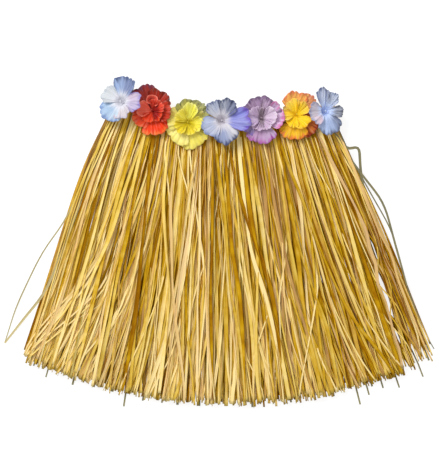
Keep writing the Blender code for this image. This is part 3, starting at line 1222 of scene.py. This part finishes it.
@dataclass(frozen=True)
class Flower:
    """A cloth flower sewn to the band: one or two rounds of petals and a moulded centre."""

    number: int
    x: float
    y: float
    stem: float
    tilt_x: float
    tilt_y: float
    slot: Slot
    throat: Dye
    petals: tuple[Petal, ...]
    inner: tuple[Petal, ...] = ()
    inner_throat: Dye = (255, 255, 255)
    throat_at: tuple[float, float] = (0.0, 0.0)
    throat_size: tuple[float, float] = (9.0, 9.0)
    pistil: Dye = (230, 214, 130)
    fullness: float = 0.36
    ruffle: float = 1.7
    curled: CurledPetal | None = None
    lift: float = 0.0

    def place(self) -> Matrix:
        """Set the flower on the band.

        Returns:
            Where its hub lies and how it leans.
        """
        tilts = (math.radians(self.tilt_x), math.radians(self.tilt_y))
        lean = Matrix.Rotation(tilts[0], 4, "Y") @ Matrix.Rotation(-tilts[1], 4, "X")
        lift = 13.6 + self.lift + 3.2 * sum(abs(math.sin(tilt)) for tilt in tilts)
        spot = Vector((self.x + FRAME_SHIFT[0], self.y + FRAME_SHIFT[1], lift)) * MM
        return Matrix.Translation(spot) @ lean

    def add_round(
        self, shape: PetalRound, cloth: bpy.types.Material, curled: CurledPetal | None = None
    ) -> None:
        """Make a round of petals and seat it.

        Args:
            shape: The round.
            cloth: Its finish.
            curled: A petal of the round that is rolled up, made as a piece of its own.
        """
        piece = shape.build(self.place(), cloth)
        seat(piece, [shape.node])
        if curled:
            name = f"flower_{self.number}_curled_petal"
            seat(cloth_piece(name, [curled.strip()], self.place(), cloth), [])

    def build(self, finishes: dict[str, bpy.types.Material]) -> None:
        """Make and seat the flower's pieces.

        Args:
            finishes: Materials by name.
        """
        name, cloth = f"flower_{self.number}", finishes[self.slot.value]
        throat = (self.throat_at, self.throat_size)
        stem, ruffle = self.stem * MM, self.ruffle * MM
        outer = PetalRound(
            name + "_petals", self.petals, self.throat, *throat, 3.2 * MM, stem, 1.0 * MM, ruffle,
            self.fullness, 100 + self.number,
        )
        self.add_round(outer, cloth)
        if self.inner:
            second = PetalRound(
                name + "_inner", self.inner, self.inner_throat, *throat, 2.0 * MM, stem, 2.9 * MM, ruffle,
                0.62, 200 + self.number, columns=40, rings=13,
            )
            self.add_round(second, cloth, self.curled)
        self.build_pistil(name, finishes[f"pistil_{self.number}"])

    def build_pistil(self, name: str, material: bpy.types.Material) -> None:
        """Turn the moulded centre and the stalk that holds the flower to the band.

        Args:
            name: The flower's name.
            material: The centre's finish.
        """
        floor = 3.2 if self.inner else 1.3
        foot = 12.5 - self.place().translation.z / MM - floor
        profile = (
            (0.0, foot), (1.5, foot), (1.2, foot + 1.2), (0.95, 1.2), (0.75, 5.0), (0.8, 8.2), (1.25, 9.2),
            (1.3, 10.0), (0.9, 10.8), (0.0, 11.0),
        )
        bm = bmesh.new()
        verts = [bm.verts.new((x * MM, 0, (z + floor) * MM)) for x, z in profile]
        edges = [bm.edges.new(pair) for pair in zip(verts, verts[1:])]
        bmesh.ops.spin(
            bm, geom=verts + edges, axis=(0, 0, 1), cent=(0, 0, 0), steps=12, angle=2 * math.pi
        )
        bmesh.ops.remove_doubles(bm, verts=bm.verts[:], dist=0.01 * MM)
        mesh = bpy.data.meshes.new(name + "_pistil")
        face_outwards(bm, mesh)
        mesh.materials.append(material)
        mesh.transform(self.place())
        seat(add_piece(name + "_pistil_turned", mesh), [name + "_pistil"])


def inner_round(*petals: tuple[float, float, float, float, Dye, Dye]) -> tuple[Petal, ...]:
    """Inner petals from their direction, length, rise, half-angle, blade dye and rim dye."""
    return tuple(Petal(*petal) for petal in petals)


# Petal colours are the flowers' dyes with painted shade mixed in: the upper petals, which point up the
# skirt, mostly carry darker colours than the lower ones (on the yellow flower a greyer olive), and on some
# petals the far_side colour makes one side darker.
FLOWERS = (
    Flower(
        1, -136, 198, 9, -18, 12, Slot.BLUE, (214, 214, 222),
        (
            Petal(68, 35, 9, 42, (130, 142, 178), (84, 98, 136), (164, 184, 218), 1.5),
            Petal(147, 29, 6, 42, (202, 206, 210), (192, 198, 204), None, 0.5),
            Petal(229, 33, 3, 58, (160, 184, 210), (128, 152, 196), (192, 206, 220), -1.0),
            Petal(287, 27, 5, 40, (204, 196, 202), (190, 182, 200), None, 0.5),
            Petal(350, 33, 8, 37, (188, 178, 204), (146, 132, 192), (200, 184, 202), 0.0),
        ),
        pistil=(214, 214, 222), fullness=0.62, ruffle=2.0, throat_size=(13, 13), lift=3.0,
    ),
    Flower(
        2, -95, 187, 3, 0, 6, Slot.RED, (186, 22, 4),
        (
            Petal(55, 31, 8, 48, (172, 48, 26), (116, 40, 26), (158, 42, 26), 1.0),
            Petal(122, 38, 6, 44, (158, 50, 40), (108, 56, 78), (180, 52, 32), 1.0),
            Petal(208, 30, 2, 50, (228, 72, 30), (236, 112, 66), None, -0.5),
            Petal(282, 35, 2, 46, (234, 60, 8), (238, 122, 54), None, -1.0),
            Petal(350, 26, 8, 48, (204, 60, 34), (180, 64, 38), None, 1.5),
        ),
        inner_round(
            (20, 18, 13, 40, (222, 72, 46), (230, 98, 72)),
            (72, 15, 12, 34, (214, 64, 40), (224, 92, 68)),
            (178, 21, 11, 50, (238, 106, 82), (246, 132, 108)),
            (240, 19, 8, 38, (226, 62, 20), (236, 86, 36)),
            (304, 18, 9, 40, (220, 58, 26), (232, 90, 50)),
        ),
        (158, 14, 4), (5.5, -3.0), (5, 11), (150, 20, 4), 0.80, 2.4,
        CurledPetal(-1.0, 13.5, 9.0, 11.0, (230, 96, 76), (242, 136, 114), (214, 82, 60)),
    ),
    Flower(
        3, -44, 171, 3, 0, 0, Slot.YELLOW, (222, 202, 24),
        (
            Petal(14, 26, 4, 48, (226, 216, 112), (196, 188, 114), None, 0.5),
            Petal(48, 34, 6, 34, (182, 180, 112), (152, 152, 108), None, 0.5),
            Petal(92, 32, 8, 46, (196, 190, 100), (144, 144, 96), (190, 184, 104), 1.0),
            Petal(158, 30, 5, 48, (242, 230, 124), (214, 202, 122), None, 0.0),
            Petal(228, 34, 2, 46, (246, 234, 136), (228, 212, 110), None, -0.5),
            Petal(288, 37, 2, 44, (244, 230, 104), (224, 206, 96), None, -1.0),
        ),
        inner_round(
            (76, 26, 14, 36, (240, 234, 96), (244, 238, 140)),
            (136, 20, 12, 44, (230, 214, 72), (238, 224, 100)),
            (206, 20, 10, 46, (226, 204, 34), (234, 218, 72)),
            (282, 19, 8, 46, (226, 206, 40), (236, 222, 88)),
            (350, 21, 11, 44, (238, 226, 78), (242, 232, 116)),
        ),
        (204, 184, 10), (1.5, -2.5), (8, 8), (206, 184, 24), 0.80, 2.4,
    ),
    Flower(
        4, 4, 173, 9, 0, 2, Slot.BLUE, (208, 204, 212),
        (
            Petal(61, 30, 10, 38, (126, 132, 158), (60, 68, 104), (184, 188, 202), 1.5),
            Petal(121, 29, 9, 38, (176, 182, 202), (96, 106, 142), (198, 200, 210), 1.0),
            Petal(211, 29, 4, 52, (176, 184, 208), (130, 144, 182), (184, 188, 206), -0.5),
            Petal(284, 34, 3, 46, (146, 156, 190), (62, 70, 110), (212, 210, 216), -1.0),
            Petal(358, 40, 9, 36, (150, 152, 212), (118, 90, 188), (132, 134, 208), 0.0),
        ),
        pistil=(214, 210, 218), fullness=0.62, ruffle=2.0, throat_size=(11, 14), lift=4.0,
    ),
    Flower(
        5, 60, 176, 3, 0, 5, Slot.VIOLET, (158, 138, 152),
        (
            Petal(4, 32, 10, 48, (214, 180, 214), (212, 112, 170), (200, 172, 206), 0.5),
            Petal(47, 31, 8, 46, (186, 162, 188), (124, 96, 132), None, 1.0),
            Petal(93, 31, 7, 48, (164, 136, 170), (102, 78, 112), (178, 150, 180), 1.5),
            Petal(138, 30, 5, 46, (174, 148, 184), (114, 90, 130), None, 1.0),
            Petal(200, 29, 1, 50, (180, 160, 204), (144, 116, 194), None, -0.5),
            Petal(272, 36, 2, 48, (188, 152, 190), (172, 84, 166), (194, 168, 200), -1.0),
        ),
        inner_round(
            (10, 22, 12, 52, (212, 190, 212), (226, 208, 226)),
            (68, 15, 9, 34, (184, 160, 184), (200, 176, 198)),
            (128, 18, 9, 38, (192, 168, 196), (208, 184, 210)),
            (188, 22, 11, 50, (206, 184, 214), (218, 200, 224)),
            (248, 19, 8, 36, (202, 176, 206), (214, 190, 214)),
            (302, 19, 9, 36, (204, 180, 206), (220, 200, 220)),
        ),
        # Painted shade: the dark mauve throats, drawn out up and down the flower (4.5 by 15 mm), stand in
        # for the shade of a vertical fold in its middle.
        (148, 130, 142), (0.5, 2.5), (4.5, 15), (160, 138, 152), 0.80, 2.2, lift=2.5,
    ),
    Flower(
        6, 110, 181, 3, 0, 5, Slot.ORANGE, (240, 200, 24),
        (
            Petal(45, 35, 2, 44, (226, 160, 104), (206, 112, 84), (232, 174, 96), 1.0),
            Petal(100, 32, 6, 46, (242, 186, 98), (220, 120, 78), None, 1.0),
            Petal(166, 21, 1, 48, (216, 182, 74), (170, 142, 82), None, 0.0),
            Petal(262, 35, 2, 48, (244, 192, 32), (226, 116, 46), None, -1.0),
            Petal(326, 36, 1, 42, (200, 112, 40), (156, 54, 32), (184, 94, 48), 0.0),
        ),
        inner_round(
            (38, 20, 11, 42, (246, 212, 66), (242, 196, 84)),
            (106, 22, 10, 44, (246, 214, 80), (242, 200, 96)),
            (176, 19, 8, 40, (246, 214, 72), (242, 212, 104)),
            (238, 20, 7, 42, (248, 212, 20), (244, 196, 40)),
            (306, 23, 8, 44, (248, 212, 30), (240, 184, 48)),
        ),
        (246, 208, 20), (0, 1), (9, 13), (240, 202, 30), 0.78, 2.4,
    ),
    Flower(
        7, 147, 186, 9, 22, 4, Slot.BLUE, (200, 216, 250),
        (
            Petal(357, 24, 8, 30, (154, 158, 172), (104, 108, 124), None, 1.0),
            Petal(60, 27, 9, 32, (200, 208, 226), (128, 140, 170), (200, 206, 224), 1.0),
            Petal(110, 32, 9, 30, (206, 214, 234), (94, 106, 142), (168, 178, 210), 1.5),
            Petal(196, 29, 8, 52, (202, 194, 206), (150, 154, 184), (224, 200, 210), 0.0),
            Petal(287, 34, 3, 50, (176, 194, 232), (100, 108, 134), (134, 144, 172), -1.0),
        ),
        pistil=(204, 216, 244), fullness=0.60, ruffle=2.0, throat_size=(12, 12), lift=3.0,
    ),
)


def face_outwards(bm: bmesh.types.BMesh, mesh: bpy.types.Mesh) -> None:
    """Turn a closed shape's faces outwards and write it to its mesh.

    Args:
        bm: The shape, which is freed.
        mesh: The mesh, which is shaded smooth.
    """
    bmesh.ops.recalc_face_normals(bm, faces=bm.faces[:])
    bm.to_mesh(mesh)
    bm.free()
    mesh.shade_smooth()


@dataclass(frozen=True)
class Waistband:
    """Elastic loop that grips the heads of the raffia, pressed flat with the front over the back."""

    plan: SkirtPlan
    half_length: float = 165 * MM
    half_width: float = 10 * MM
    height: float = BAND_TOP
    wall: float = 1.3 * MM
    flat_steps: int = 90
    fold_steps: int = 16
    ribs: int = 9
    rib_depth: float = 0.14 * MM
    zigzag_pitch: float = 4.2 * MM
    zigzag_reach: float = 0.62
    seam_inset: float = 8 * MM
    thread: float = 0.28 * MM

    def loop(self) -> tuple[Array, Array, Array]:
        """Go round the pressed loop.

        Returns:
            Its run, its height and its outward direction at each step.
        """
        radius = self.height / 2
        straight = self.half_length - radius
        run, level, way = [], [], []
        for side in (1, -1):
            for i in range(self.flat_steps):
                run.append(mix(-straight, straight, i / self.flat_steps) * side)
                level.append(radius - radius * side)
                way.append((0.0, -side))
            for i in range(self.fold_steps):
                angle = math.pi * i / self.fold_steps
                run.append(side * (straight + radius * math.sin(angle)))
                level.append(radius - side * radius * math.cos(angle))
                way.append((side * math.sin(angle), -side * math.cos(angle)))
        return np.array(run), np.array(level), np.array(way)

    def spot(self, run: Array, rise: Array, level: Array) -> Array:
        """Place points on the band.

        Args:
            run: How far each lies along the band.
            rise: How far across it, from -1 to 1.
            level: Its height.

        Returns:
            The points.
        """
        across = run / self.plan.half_waist
        x, y = self.plan.point(across, -rise * self.half_width / self.plan.length)
        return np.stack([x, y, level], axis=-1)

    def section(self) -> tuple[Array, Array, Array]:
        """Draw the woven section.

        Returns:
            Its rise, its depth and how far its edges bulge.
        """
        half = self.wall / 2
        face = np.linspace(-1, 1, 4 * self.ribs + 1)
        edge = np.linspace(0, math.pi, 5)[1:-1]
        rise = np.r_[face, 1 + 0 * edge, face[::-1], -1 + 0 * edge]
        ribbed = self.rib_depth * np.cos(face * math.pi * self.ribs * 2) * (1 - face**8)
        outside, inside = half + ribbed - self.rib_depth, -half - ribbed[::-1] + self.rib_depth
        depth = np.r_[outside, half * np.cos(edge), inside, -half * np.cos(edge)]
        round_edge = half * np.sin(edge) * 0.9
        return rise, depth, np.r_[0 * face, round_edge, 0 * face, -round_edge]

    def build(self, material: bpy.types.Material) -> bpy.types.Object:
        """Make the loop with its woven ribs and rounded edges.

        Args:
            material: Its finish.

        Returns:
            The piece.
        """
        run, level, way = self.loop()
        rise, depth, bulge = self.section()
        steps = len(run)
        pucker = 0.16 * MM * np.sin(np.arange(steps) * 1.9)[:, None] * np.abs(rise)[None, :]
        out = depth[None, :] - self.wall / 2 + pucker * 0.5
        runs = run[:, None] + way[:, :1] * out
        levels = level[:, None] + way[:, 1:] * out
        points = self.spot(runs, rise[None, :] + bulge[None, :] / self.half_width + 0 * runs, levels)
        index = np.arange(steps * len(rise)).reshape(steps, -1)
        after, beside = np.roll(index, -1, axis=0), np.roll(index, -1, axis=1)
        faces = np.stack([index, after, np.roll(after, -1, axis=1), beside], axis=-1).reshape(-1, 4)
        mesh = bpy.data.meshes.new("waistband_elastic")
        mesh.from_pydata(points.reshape(-1, 3).tolist(), [], faces.tolist())
        length = np.cumsum(np.r_[0, np.hypot(np.diff(run), np.diff(level))])
        mark(mesh, {"run": length[:, None] + 0 * levels, "rise": rise[None, :] / 2 + 0.5 + 0 * levels})
        bm = bmesh.new()
        bm.from_mesh(mesh)
        face_outwards(bm, mesh)
        mesh.materials.append(material)
        return add_piece("waistband_elastic", mesh)

    def stitch(self, loom: StrandLoom) -> bpy.types.Object:
        """Sew two rows of zigzag thread over the band, front and back.

        Args:
            loom: Sweeps the thread.

        Returns:
            The piece.
        """
        reach = self.half_length - self.seam_inset
        count = int(2 * reach / self.zigzag_pitch) * 2
        run = np.linspace(-reach, reach, count)
        lines = []
        for level in (self.height + 0.12 * MM, 0.38 * MM):
            for middle in (0.38, -0.38):
                rise = middle + self.zigzag_reach / 2 * np.where(np.arange(count) % 2, 0.5, -0.5)
                lines.append(self.spot(run, rise, np.full(count, level)))
        points = np.array(lines)
        zero = np.zeros(points.shape[:2])
        guide = line_mesh("zigzag_guide", points, {"half_width": zero + self.thread, "twist": zero})
        return loom.run(
            "waistband_stitches", guide,
            {"Ribbon sides": 6, "Thickness share": 1.0, "Fold depth": 0.0},
        )


@dataclass(frozen=True)
class Studio:
    """Camera straight above the skirt, a pale table and soft light from the upper left."""

    lens: float = 100.0
    sensor: float = 36.0
    centre: tuple[float, float, float] = (3.3 * MM, 25.9 * MM, 12 * MM)
    table_reach: float = 4.0
    key_energy: float = 31.0
    fill_energy: float = 4.0
    sky: float = 0.62

    def distance(self) -> float:
        """Distance at which one pixel of the picture covers its share of the skirt."""
        return IMAGE_HEIGHT * PIXEL / 2 / (self.sensor / 2 / self.lens)

    def place_camera(self) -> None:
        """Put the camera over the skirt with the waistband at the top of the picture."""
        data = bpy.data.cameras.new("camera")
        data.type, data.lens, data.sensor_width = "PERSP", self.lens, self.sensor
        data.clip_start, data.clip_end = 0.05, 20.0
        camera = bpy.data.objects.new("camera", data)
        camera.location = (self.centre[0], self.centre[1], self.centre[2] + self.distance())
        bpy.context.scene.collection.objects.link(camera)
        bpy.context.scene.camera = camera

    def lay_table(self, material: bpy.types.Material) -> None:
        """Lay a wide table just under the skirt.

        Args:
            material: Its finish.
        """
        far, top = self.table_reach, -0.2 * MM
        mesh = bpy.data.meshes.new("table_top")
        corners = [(-far, -far, top), (far, -far, top), (far, far, top), (-far, far, top)]
        mesh.from_pydata(corners, [], [(0, 1, 2, 3)])
        mesh.materials.append(material)
        add_piece("table_top", mesh)

    def light(self) -> None:
        """Hang two soft boxes and a white surround."""
        for name, energy, size, spot in (
            ("key_box", self.key_energy, 1.1, (-0.95, 1.15, 1.55)),
            ("fill_box", self.fill_energy, 1.8, (1.3, -0.6, 1.7)),
        ):
            data = bpy.data.lights.new(name, "AREA")
            data.energy, data.size = energy, size
            lamp = bpy.data.objects.new(name, data)
            lamp.location = spot
            lamp.rotation_euler = (-Vector(spot)).to_track_quat("-Z", "Y").to_euler()
            bpy.context.scene.collection.objects.link(lamp)
        world = bpy.data.worlds.new("white_surround")
        world.use_nodes = True
        surround = world.node_tree.nodes["Background"].inputs
        surround[0].default_value, surround[1].default_value = (1, 1, 1, 1), self.sky
        scene = bpy.context.scene
        scene.world = world
        scene.view_settings.view_transform, scene.view_settings.look = "Standard", "None"


# The inner rounds, seen only in the gaps between the outer strands, carry the lowest tones (the eleventh
# number): painted shade in those gaps.
ROUNDS = (
    RaffiaRound(
        "raffia_back_outer", 60, 260, 2.1 * MM, 0.15 * MM, 1.3 * MM, 0.0, 0.010, 0.10, 2.2 * MM, 0.30, 41,
        gather=(0.8, 1.1), wild_size=0.02,
    ),
    RaffiaRound(
        "raffia_back_inner", 36, 160, 3.9 * MM, 2.3 * MM, 1.3 * MM, 0.0, 0.010, 0.10, 2.2 * MM, 0.14, 42,
        gather=(0.8, 1.1), wild_size=0.02,
    ),
    RaffiaRound(
        "raffia_front_inner", 48, 260, 5.6 * MM, 4.5 * MM, 1.9 * MM, 0.0, 0.014, 0.25, 2.1 * MM, 0.06, 43,
        gather=(0.7, 1.1), wild_size=0.015,
    ),
    RaffiaRound(
        "raffia_front_outer", 84, 560, 7.4 * MM, 6.8 * MM, 4.4 * MM, -0.003, 0.020, 0.40, 1.65 * MM, 0.37,
        44, ends=(-0.018, 0.006), wild_size=0.020, plain=False, over_band=0.62, sweep=(-0.19, 0.10),
    ),
    RaffiaRound(
        "raffia_over_left", 20, 90, 9.0 * MM, 11.8 * MM, 1.6 * MM, -0.030, 0.050, 0.7, 1.6 * MM, 0.53, 45,
        0.90, (0.8, 1.4), 3.0, (-0.022, 0.004), 0.026, False, 0.5, (-0.22, 0.04),
    ),
    RaffiaRound(
        "raffia_over_right", 20, 90, 10.3 * MM, 13.2 * MM, 1.6 * MM, 0.030, 0.050, 0.7, 1.6 * MM, 0.53, 46,
        0.90, (0.8, 1.4), 3.0, (-0.022, 0.004), 0.026, False, 0.5, (-0.04, 0.14),
    ),
)


LOOSE = {
    "raffia_over_left": (
        LooseStrand(
            (
                (-159, 168, 9.2), (-174, 137, 12.6), (-205, 65, 12.6), (-224, 25.5, 12.6),
                (-232, 16.5, 10.4), (-247.5, -2.4, 7), (-263.5, -30, 4), (-277, -59, 2.2),
                (-291, -87.5, 1.3), (-299, -110, 0.9), (-303, -128, 0.8), (-308, -141, 0.8),
            ),
            1.15, 0.86, 0.05,
        ),
        LooseStrand(
            (
                (-152, 168, 9.2), (-170, 128, 12.6), (-206, 40, 12.6), (-232, -30, 12.6),
                (-247, -67.5, 12.4), (-255, -78.5, 10.2), (-264, -88.5, 6.4), (-275, -100.5, 3.4),
                (-287, -115.5, 1.5), (-298, -130.5, 0.9), (-308.5, -143, 0.8),
            ),
            2.2, 1.0, 0.075,
        ),
        LooseStrand(
            (
                (-118, 158, 9.4), (-128, 110, 13.0), (-142, 20, 13.6), (-148, -40, 13.8),
                (-158, -80, 14.2), (-178, -95, 14.6), (-203, -107, 14.8), (-230, -121, 14.6),
                (-252, -150, 13.0), (-262, -172, 11.0),
            ),
            0.7, 0.92, 0.5,
        ),
    ),
    "raffia_over_right": (
        LooseStrand(
            (
                (160, 172, 10.5), (168, 152, 14.0), (179, 133.5, 14.8), (186, 122.5, 14.8),
                (197, 108, 14.8), (213, 86.5, 14.2), (224.5, 73.5, 12.9), (232, 63.5, 11.3),
                (240, 45, 10.4), (246, 19.5, 10.8), (254, -9.5, 12.9), (261, -35, 14.6), (268, -60, 15),
            ),
            1.8, 0.14, 0.0,
        ),
        LooseStrand(
            (
                (162, 172, 10.5), (174, 150, 14.2), (181, 134.5, 14.8), (185, 134, 14.8), (193, 138, 14.9),
                (198.6, 140, 14.8), (200.6, 137.5, 14.8), (200.4, 124, 14.8), (202, 102, 13.8),
                (209, 62, 12.5),
            ),
            2.3, 0.10, 0.0,
        ),
        LooseStrand(
            (
                (158, 172, 10.4), (190, 120, 13.0), (222, 62, 12.6), (240, 32, 11.6), (248, 17, 11.4),
                (257.5, -21, 11.4), (268, -62, 11.4), (284, -102, 11.0), (300, -141, 9.6),
                (308, -151, 8.4),
            ),
            1.1, 0.02, 0.0,
        ),
    ),
}

PALE_STRANDS = tuple(
    PaleStrand(*row)
    for row in (
        (((-730, 485), (-824, 670), (-915, 799), (-992, 956)), 1.6, 0.92, 0.70),
        (((-742, 485), (-838, 670), (-927, 790), (-998, 930)), 1.3, 0.80, 0.74, 15.1),
        (((-718, 500), (-808, 680), (-900, 815), (-985, 970)), 1.5, 0.96, 0.50, 15.2),
        (((-696, 628), (-807, 754), (-933, 894), (-987, 967)), 1.5, 0.94, 0.72, 15.8),
        (((-684, 640), (-793, 766), (-915, 905), (-975, 980)), 1.2, 0.84, 0.60, 15.5),
        (((-577, 671), (-644, 814), (-677, 930)), 1.2, 0.90),
        (((-376, 593), (-442, 759), (-489, 864), (-530, 978)), 1.3, 0.88, 0.66),
        (((-261, 748), (-315, 873), (-386, 971)), 1.2, 0.92),
        (((-750, 647), (-802, 769), (-858, 953)), 1.4, 0.92, 0.60),
        (((-120, 607), (-144, 801), (-154, 980)), 1.3, 0.94),
        (((-531, 457), (-554, 667), (-644, 814), (-662, 900)), 1.4, 0.84, 0.66, 15.2),
        (((253, 650), (219, 704), (130, 827)), 1.2, 0.92, 0.68, 15.9),
        (((361, 658), (369, 812), (394, 976)), 1.3, 0.88, 0.60),
        (((548, 597), (442, 780), (341, 969)), 1.3, 0.92, 0.55, 16.0),
        (((86, 493), (148, 716), (225, 935)), 1.2, 0.88),
        (((268, 403), (216, 719), (196, 941)), 1.8, 0.84, 0.30, 15.2),
        (((405, 444), (303, 629), (265, 962)), 1.3, 0.90, 0.64, 15.7),
        (((758, 487), (814, 729), (809, 874)), 1.1, 0.94),
        (((594, 687), (675, 927), (709, 985)), 1.2, 0.86),
        (((88, 825), (169, 939)), 1.2, 0.92),
        (((469, 856), (523, 987)), 1.2, 0.92, 0.60, 15.8),
        (((-585, 125), (-535, 194), (-563, 290)), 1.2, 0.84, 0.60, 15.6),
        (((-475, 117), (-387, 275)), 1.1, 0.86),
        (((-373, 111), (-323, 180), (-246, 267)), 1.1, 0.86),
        (((-92, 167), (-80, 222), (-111, 263)), 1.2, 0.92),
        (((106, 60), (57, 261)), 1.2, 0.84, 0.60), (((162, 81), (152, 262)), 1.2, 0.90),
        (((345, 74), (367, 178), (390, 271)), 1.1, 0.92, 0.68),
        (((451, 109), (480, 277)), 1.4, 0.84),
        (((707, 94), (705, 169), (771, 307)), 1.1, 0.86),
        (((-750, 76), (-775, 143)), 1.2, 0.82, 0.64),
        (((-698, 104), (-730, 310)), 1.3, 0.84), (((65, 80), (4, 261)), 1.1, 0.82),
        (((935, 530), (862, 655)), 1.1, 0.50), (((848, 640), (925, 765)), 1.0, 0.62),
        (((928, 690), (850, 815)), 1.0, 0.36), (((832, 780), (905, 900)), 1.0, 0.80),
        (((-958, 74), (-963, 175), (-977, 268), (-987, 400), (-984, 560)), 1.3, 0.64, 0.38),
        (((-934, 67), (-931, 161), (-948, 263), (-956, 344)), 1.2, 0.80, 0.50),
        (((947, 160), (966, 231), (983, 302), (990, 357)), 1.2, 0.72, 0.34),
        (((935, 195), (960, 277), (963, 351)), 1.1, 0.84),
        (((952, 130), (970, 195), (961, 257), (949, 338)), 1.1, 0.66, 0.30, 15.7),
    )
)

LONG_ENDS = tuple(
    LongEnd(*row)
    for row in (
        (-0.970, 1.008, 1.2), (-0.945, 1.012, 1.2), (-0.878, 1.034, 1.1), (-0.753, 1.026, 1.6, 0.004),
        (-0.655, 1.010, 1.6), (-0.615, 1.002, 1.3), (-0.567, 1.008, 2.4), (-0.502, 1.050, 1.4, -0.012),
        (-0.417, 1.016, 1.4, -0.006), (-0.325, 1.012, 1.3, -0.008), (-0.250, 1.012, 2.0),
        (-0.148, 1.009, 3.0), (-0.110, 1.006, 1.6), (-0.02, 1.004, 1.4), (0.112, 1.012, 1.5),
        (0.30, 1.008, 1.5), (0.504, 1.014, 2.2, 0.012), (0.616, 1.066, 1.4, -0.003),
        (0.666, 1.042, 1.3, 0.014), (0.690, 1.016, 1.4, 0.008), (0.736, 1.034, 1.3),
        (0.806, 1.052, 1.3, 0.012), (0.921, 1.047, 1.2, 0.016), (0.972, 1.000, 1.5, 0.004),
        (0.990, 0.972, 1.6, 0.0),
    )
)


class GrassSkirt:
    """The whole skirt, built in the order that it is sewn."""

    def __init__(self) -> None:
        """Mix every finish."""
        self.plan = SkirtPlan()
        thread = PlainFinish(
            "straw sewing thread", dye(226, 202, 140), dye(190, 160, 96), 0.7, 1800.0, 0.1 * MM
        )
        self.finishes: dict[str, bpy.types.Material] = {
            "raffia": RaffiaFinish().build(), "band": BandFinish().build(), "thread": thread.build()
        }
        for slot in (Slot.BLUE, Slot.RED, Slot.YELLOW, Slot.VIOLET, Slot.ORANGE):
            self.finishes[slot.value] = PetalFinish(f"{slot.value} petal cloth").build()
        for flower in FLOWERS:
            deeper = dye(*(0.8 * part for part in flower.pistil))
            self.finishes[f"pistil_{flower.number}"] = PlainFinish(
                f"moulded centre {flower.number}", dye(*flower.pistil), deeper, 0.42, 900.0, 0.1 * MM
            ).build()

    def single_strands(self, node: str, stations: int) -> list[Marked]:
        """List the strands of a round that are placed one by one.

        Args:
            node: The round.
            stations: Points on each strand.

        Returns:
            Each strand's points and attributes.
        """
        placed = [loose.line(stations) for loose in LOOSE.get(node, ())]
        if node == "raffia_back_outer":
            placed += [end.line(self.plan, stations) for end in LONG_ENDS]
        side = {"raffia_over_left": True, "raffia_over_right": False}.get(node)
        on_top = [pale for pale in PALE_STRANDS if (pale.path[0][0] < 0) is side]
        return placed + [pale.line(self.plan, stations) for pale in on_top]

    def build_raffia(self) -> None:
        """Hang every round of raffia."""
        loom = StrandLoom(self.finishes["raffia"])
        for straw in ROUNDS:
            stations = 28 if straw.floor > 6 * MM else 22
            points, values = straw.lines(self.plan, stations)
            for line, more in self.single_strands(straw.node, stations):
                points = np.vstack([points, line[None]])
                values = {key: np.vstack([value, more[key][None]]) for key, value in values.items()}
            guide = line_mesh(straw.node + "_guide", points, values)
            piece = loom.run(
                straw.node + "_straw", guide,
                {"Ribbon sides": 6, "Thickness share": 0.16, "Fold depth": 0.30},
            )
            seat(piece, [straw.node])

    def build_band(self) -> None:
        """Make the waistband and sew it."""
        band = Waistband(self.plan)
        piece = band.build(self.finishes["band"])
        stitches = band.stitch(StrandLoom(self.finishes["thread"]))
        seat(piece, ["waistband"])
        seat(stitches, [])

    def build_flowers(self) -> None:
        """Make every flower and sew it to the band."""
        for flower in FLOWERS:
            flower.build(self.finishes)


def main() -> None:
    """Build the scene in order."""
    logging.basicConfig(level=logging.INFO, format="%(name)s: %(message)s")
    studio = Studio()
    studio.place_camera()
    skirt = GrassSkirt()
    skirt.build_raffia()
    skirt.build_band()
    skirt.build_flowers()
    table = PlainFinish("pale table", dye(152, 152, 152), dye(150, 150, 150), 0.9, 6.0, 0.0, 2.5)
    studio.lay_table(table.build())
    studio.light()
    bpy.context.view_layer.update()


if __name__ == "__main__":
    main()
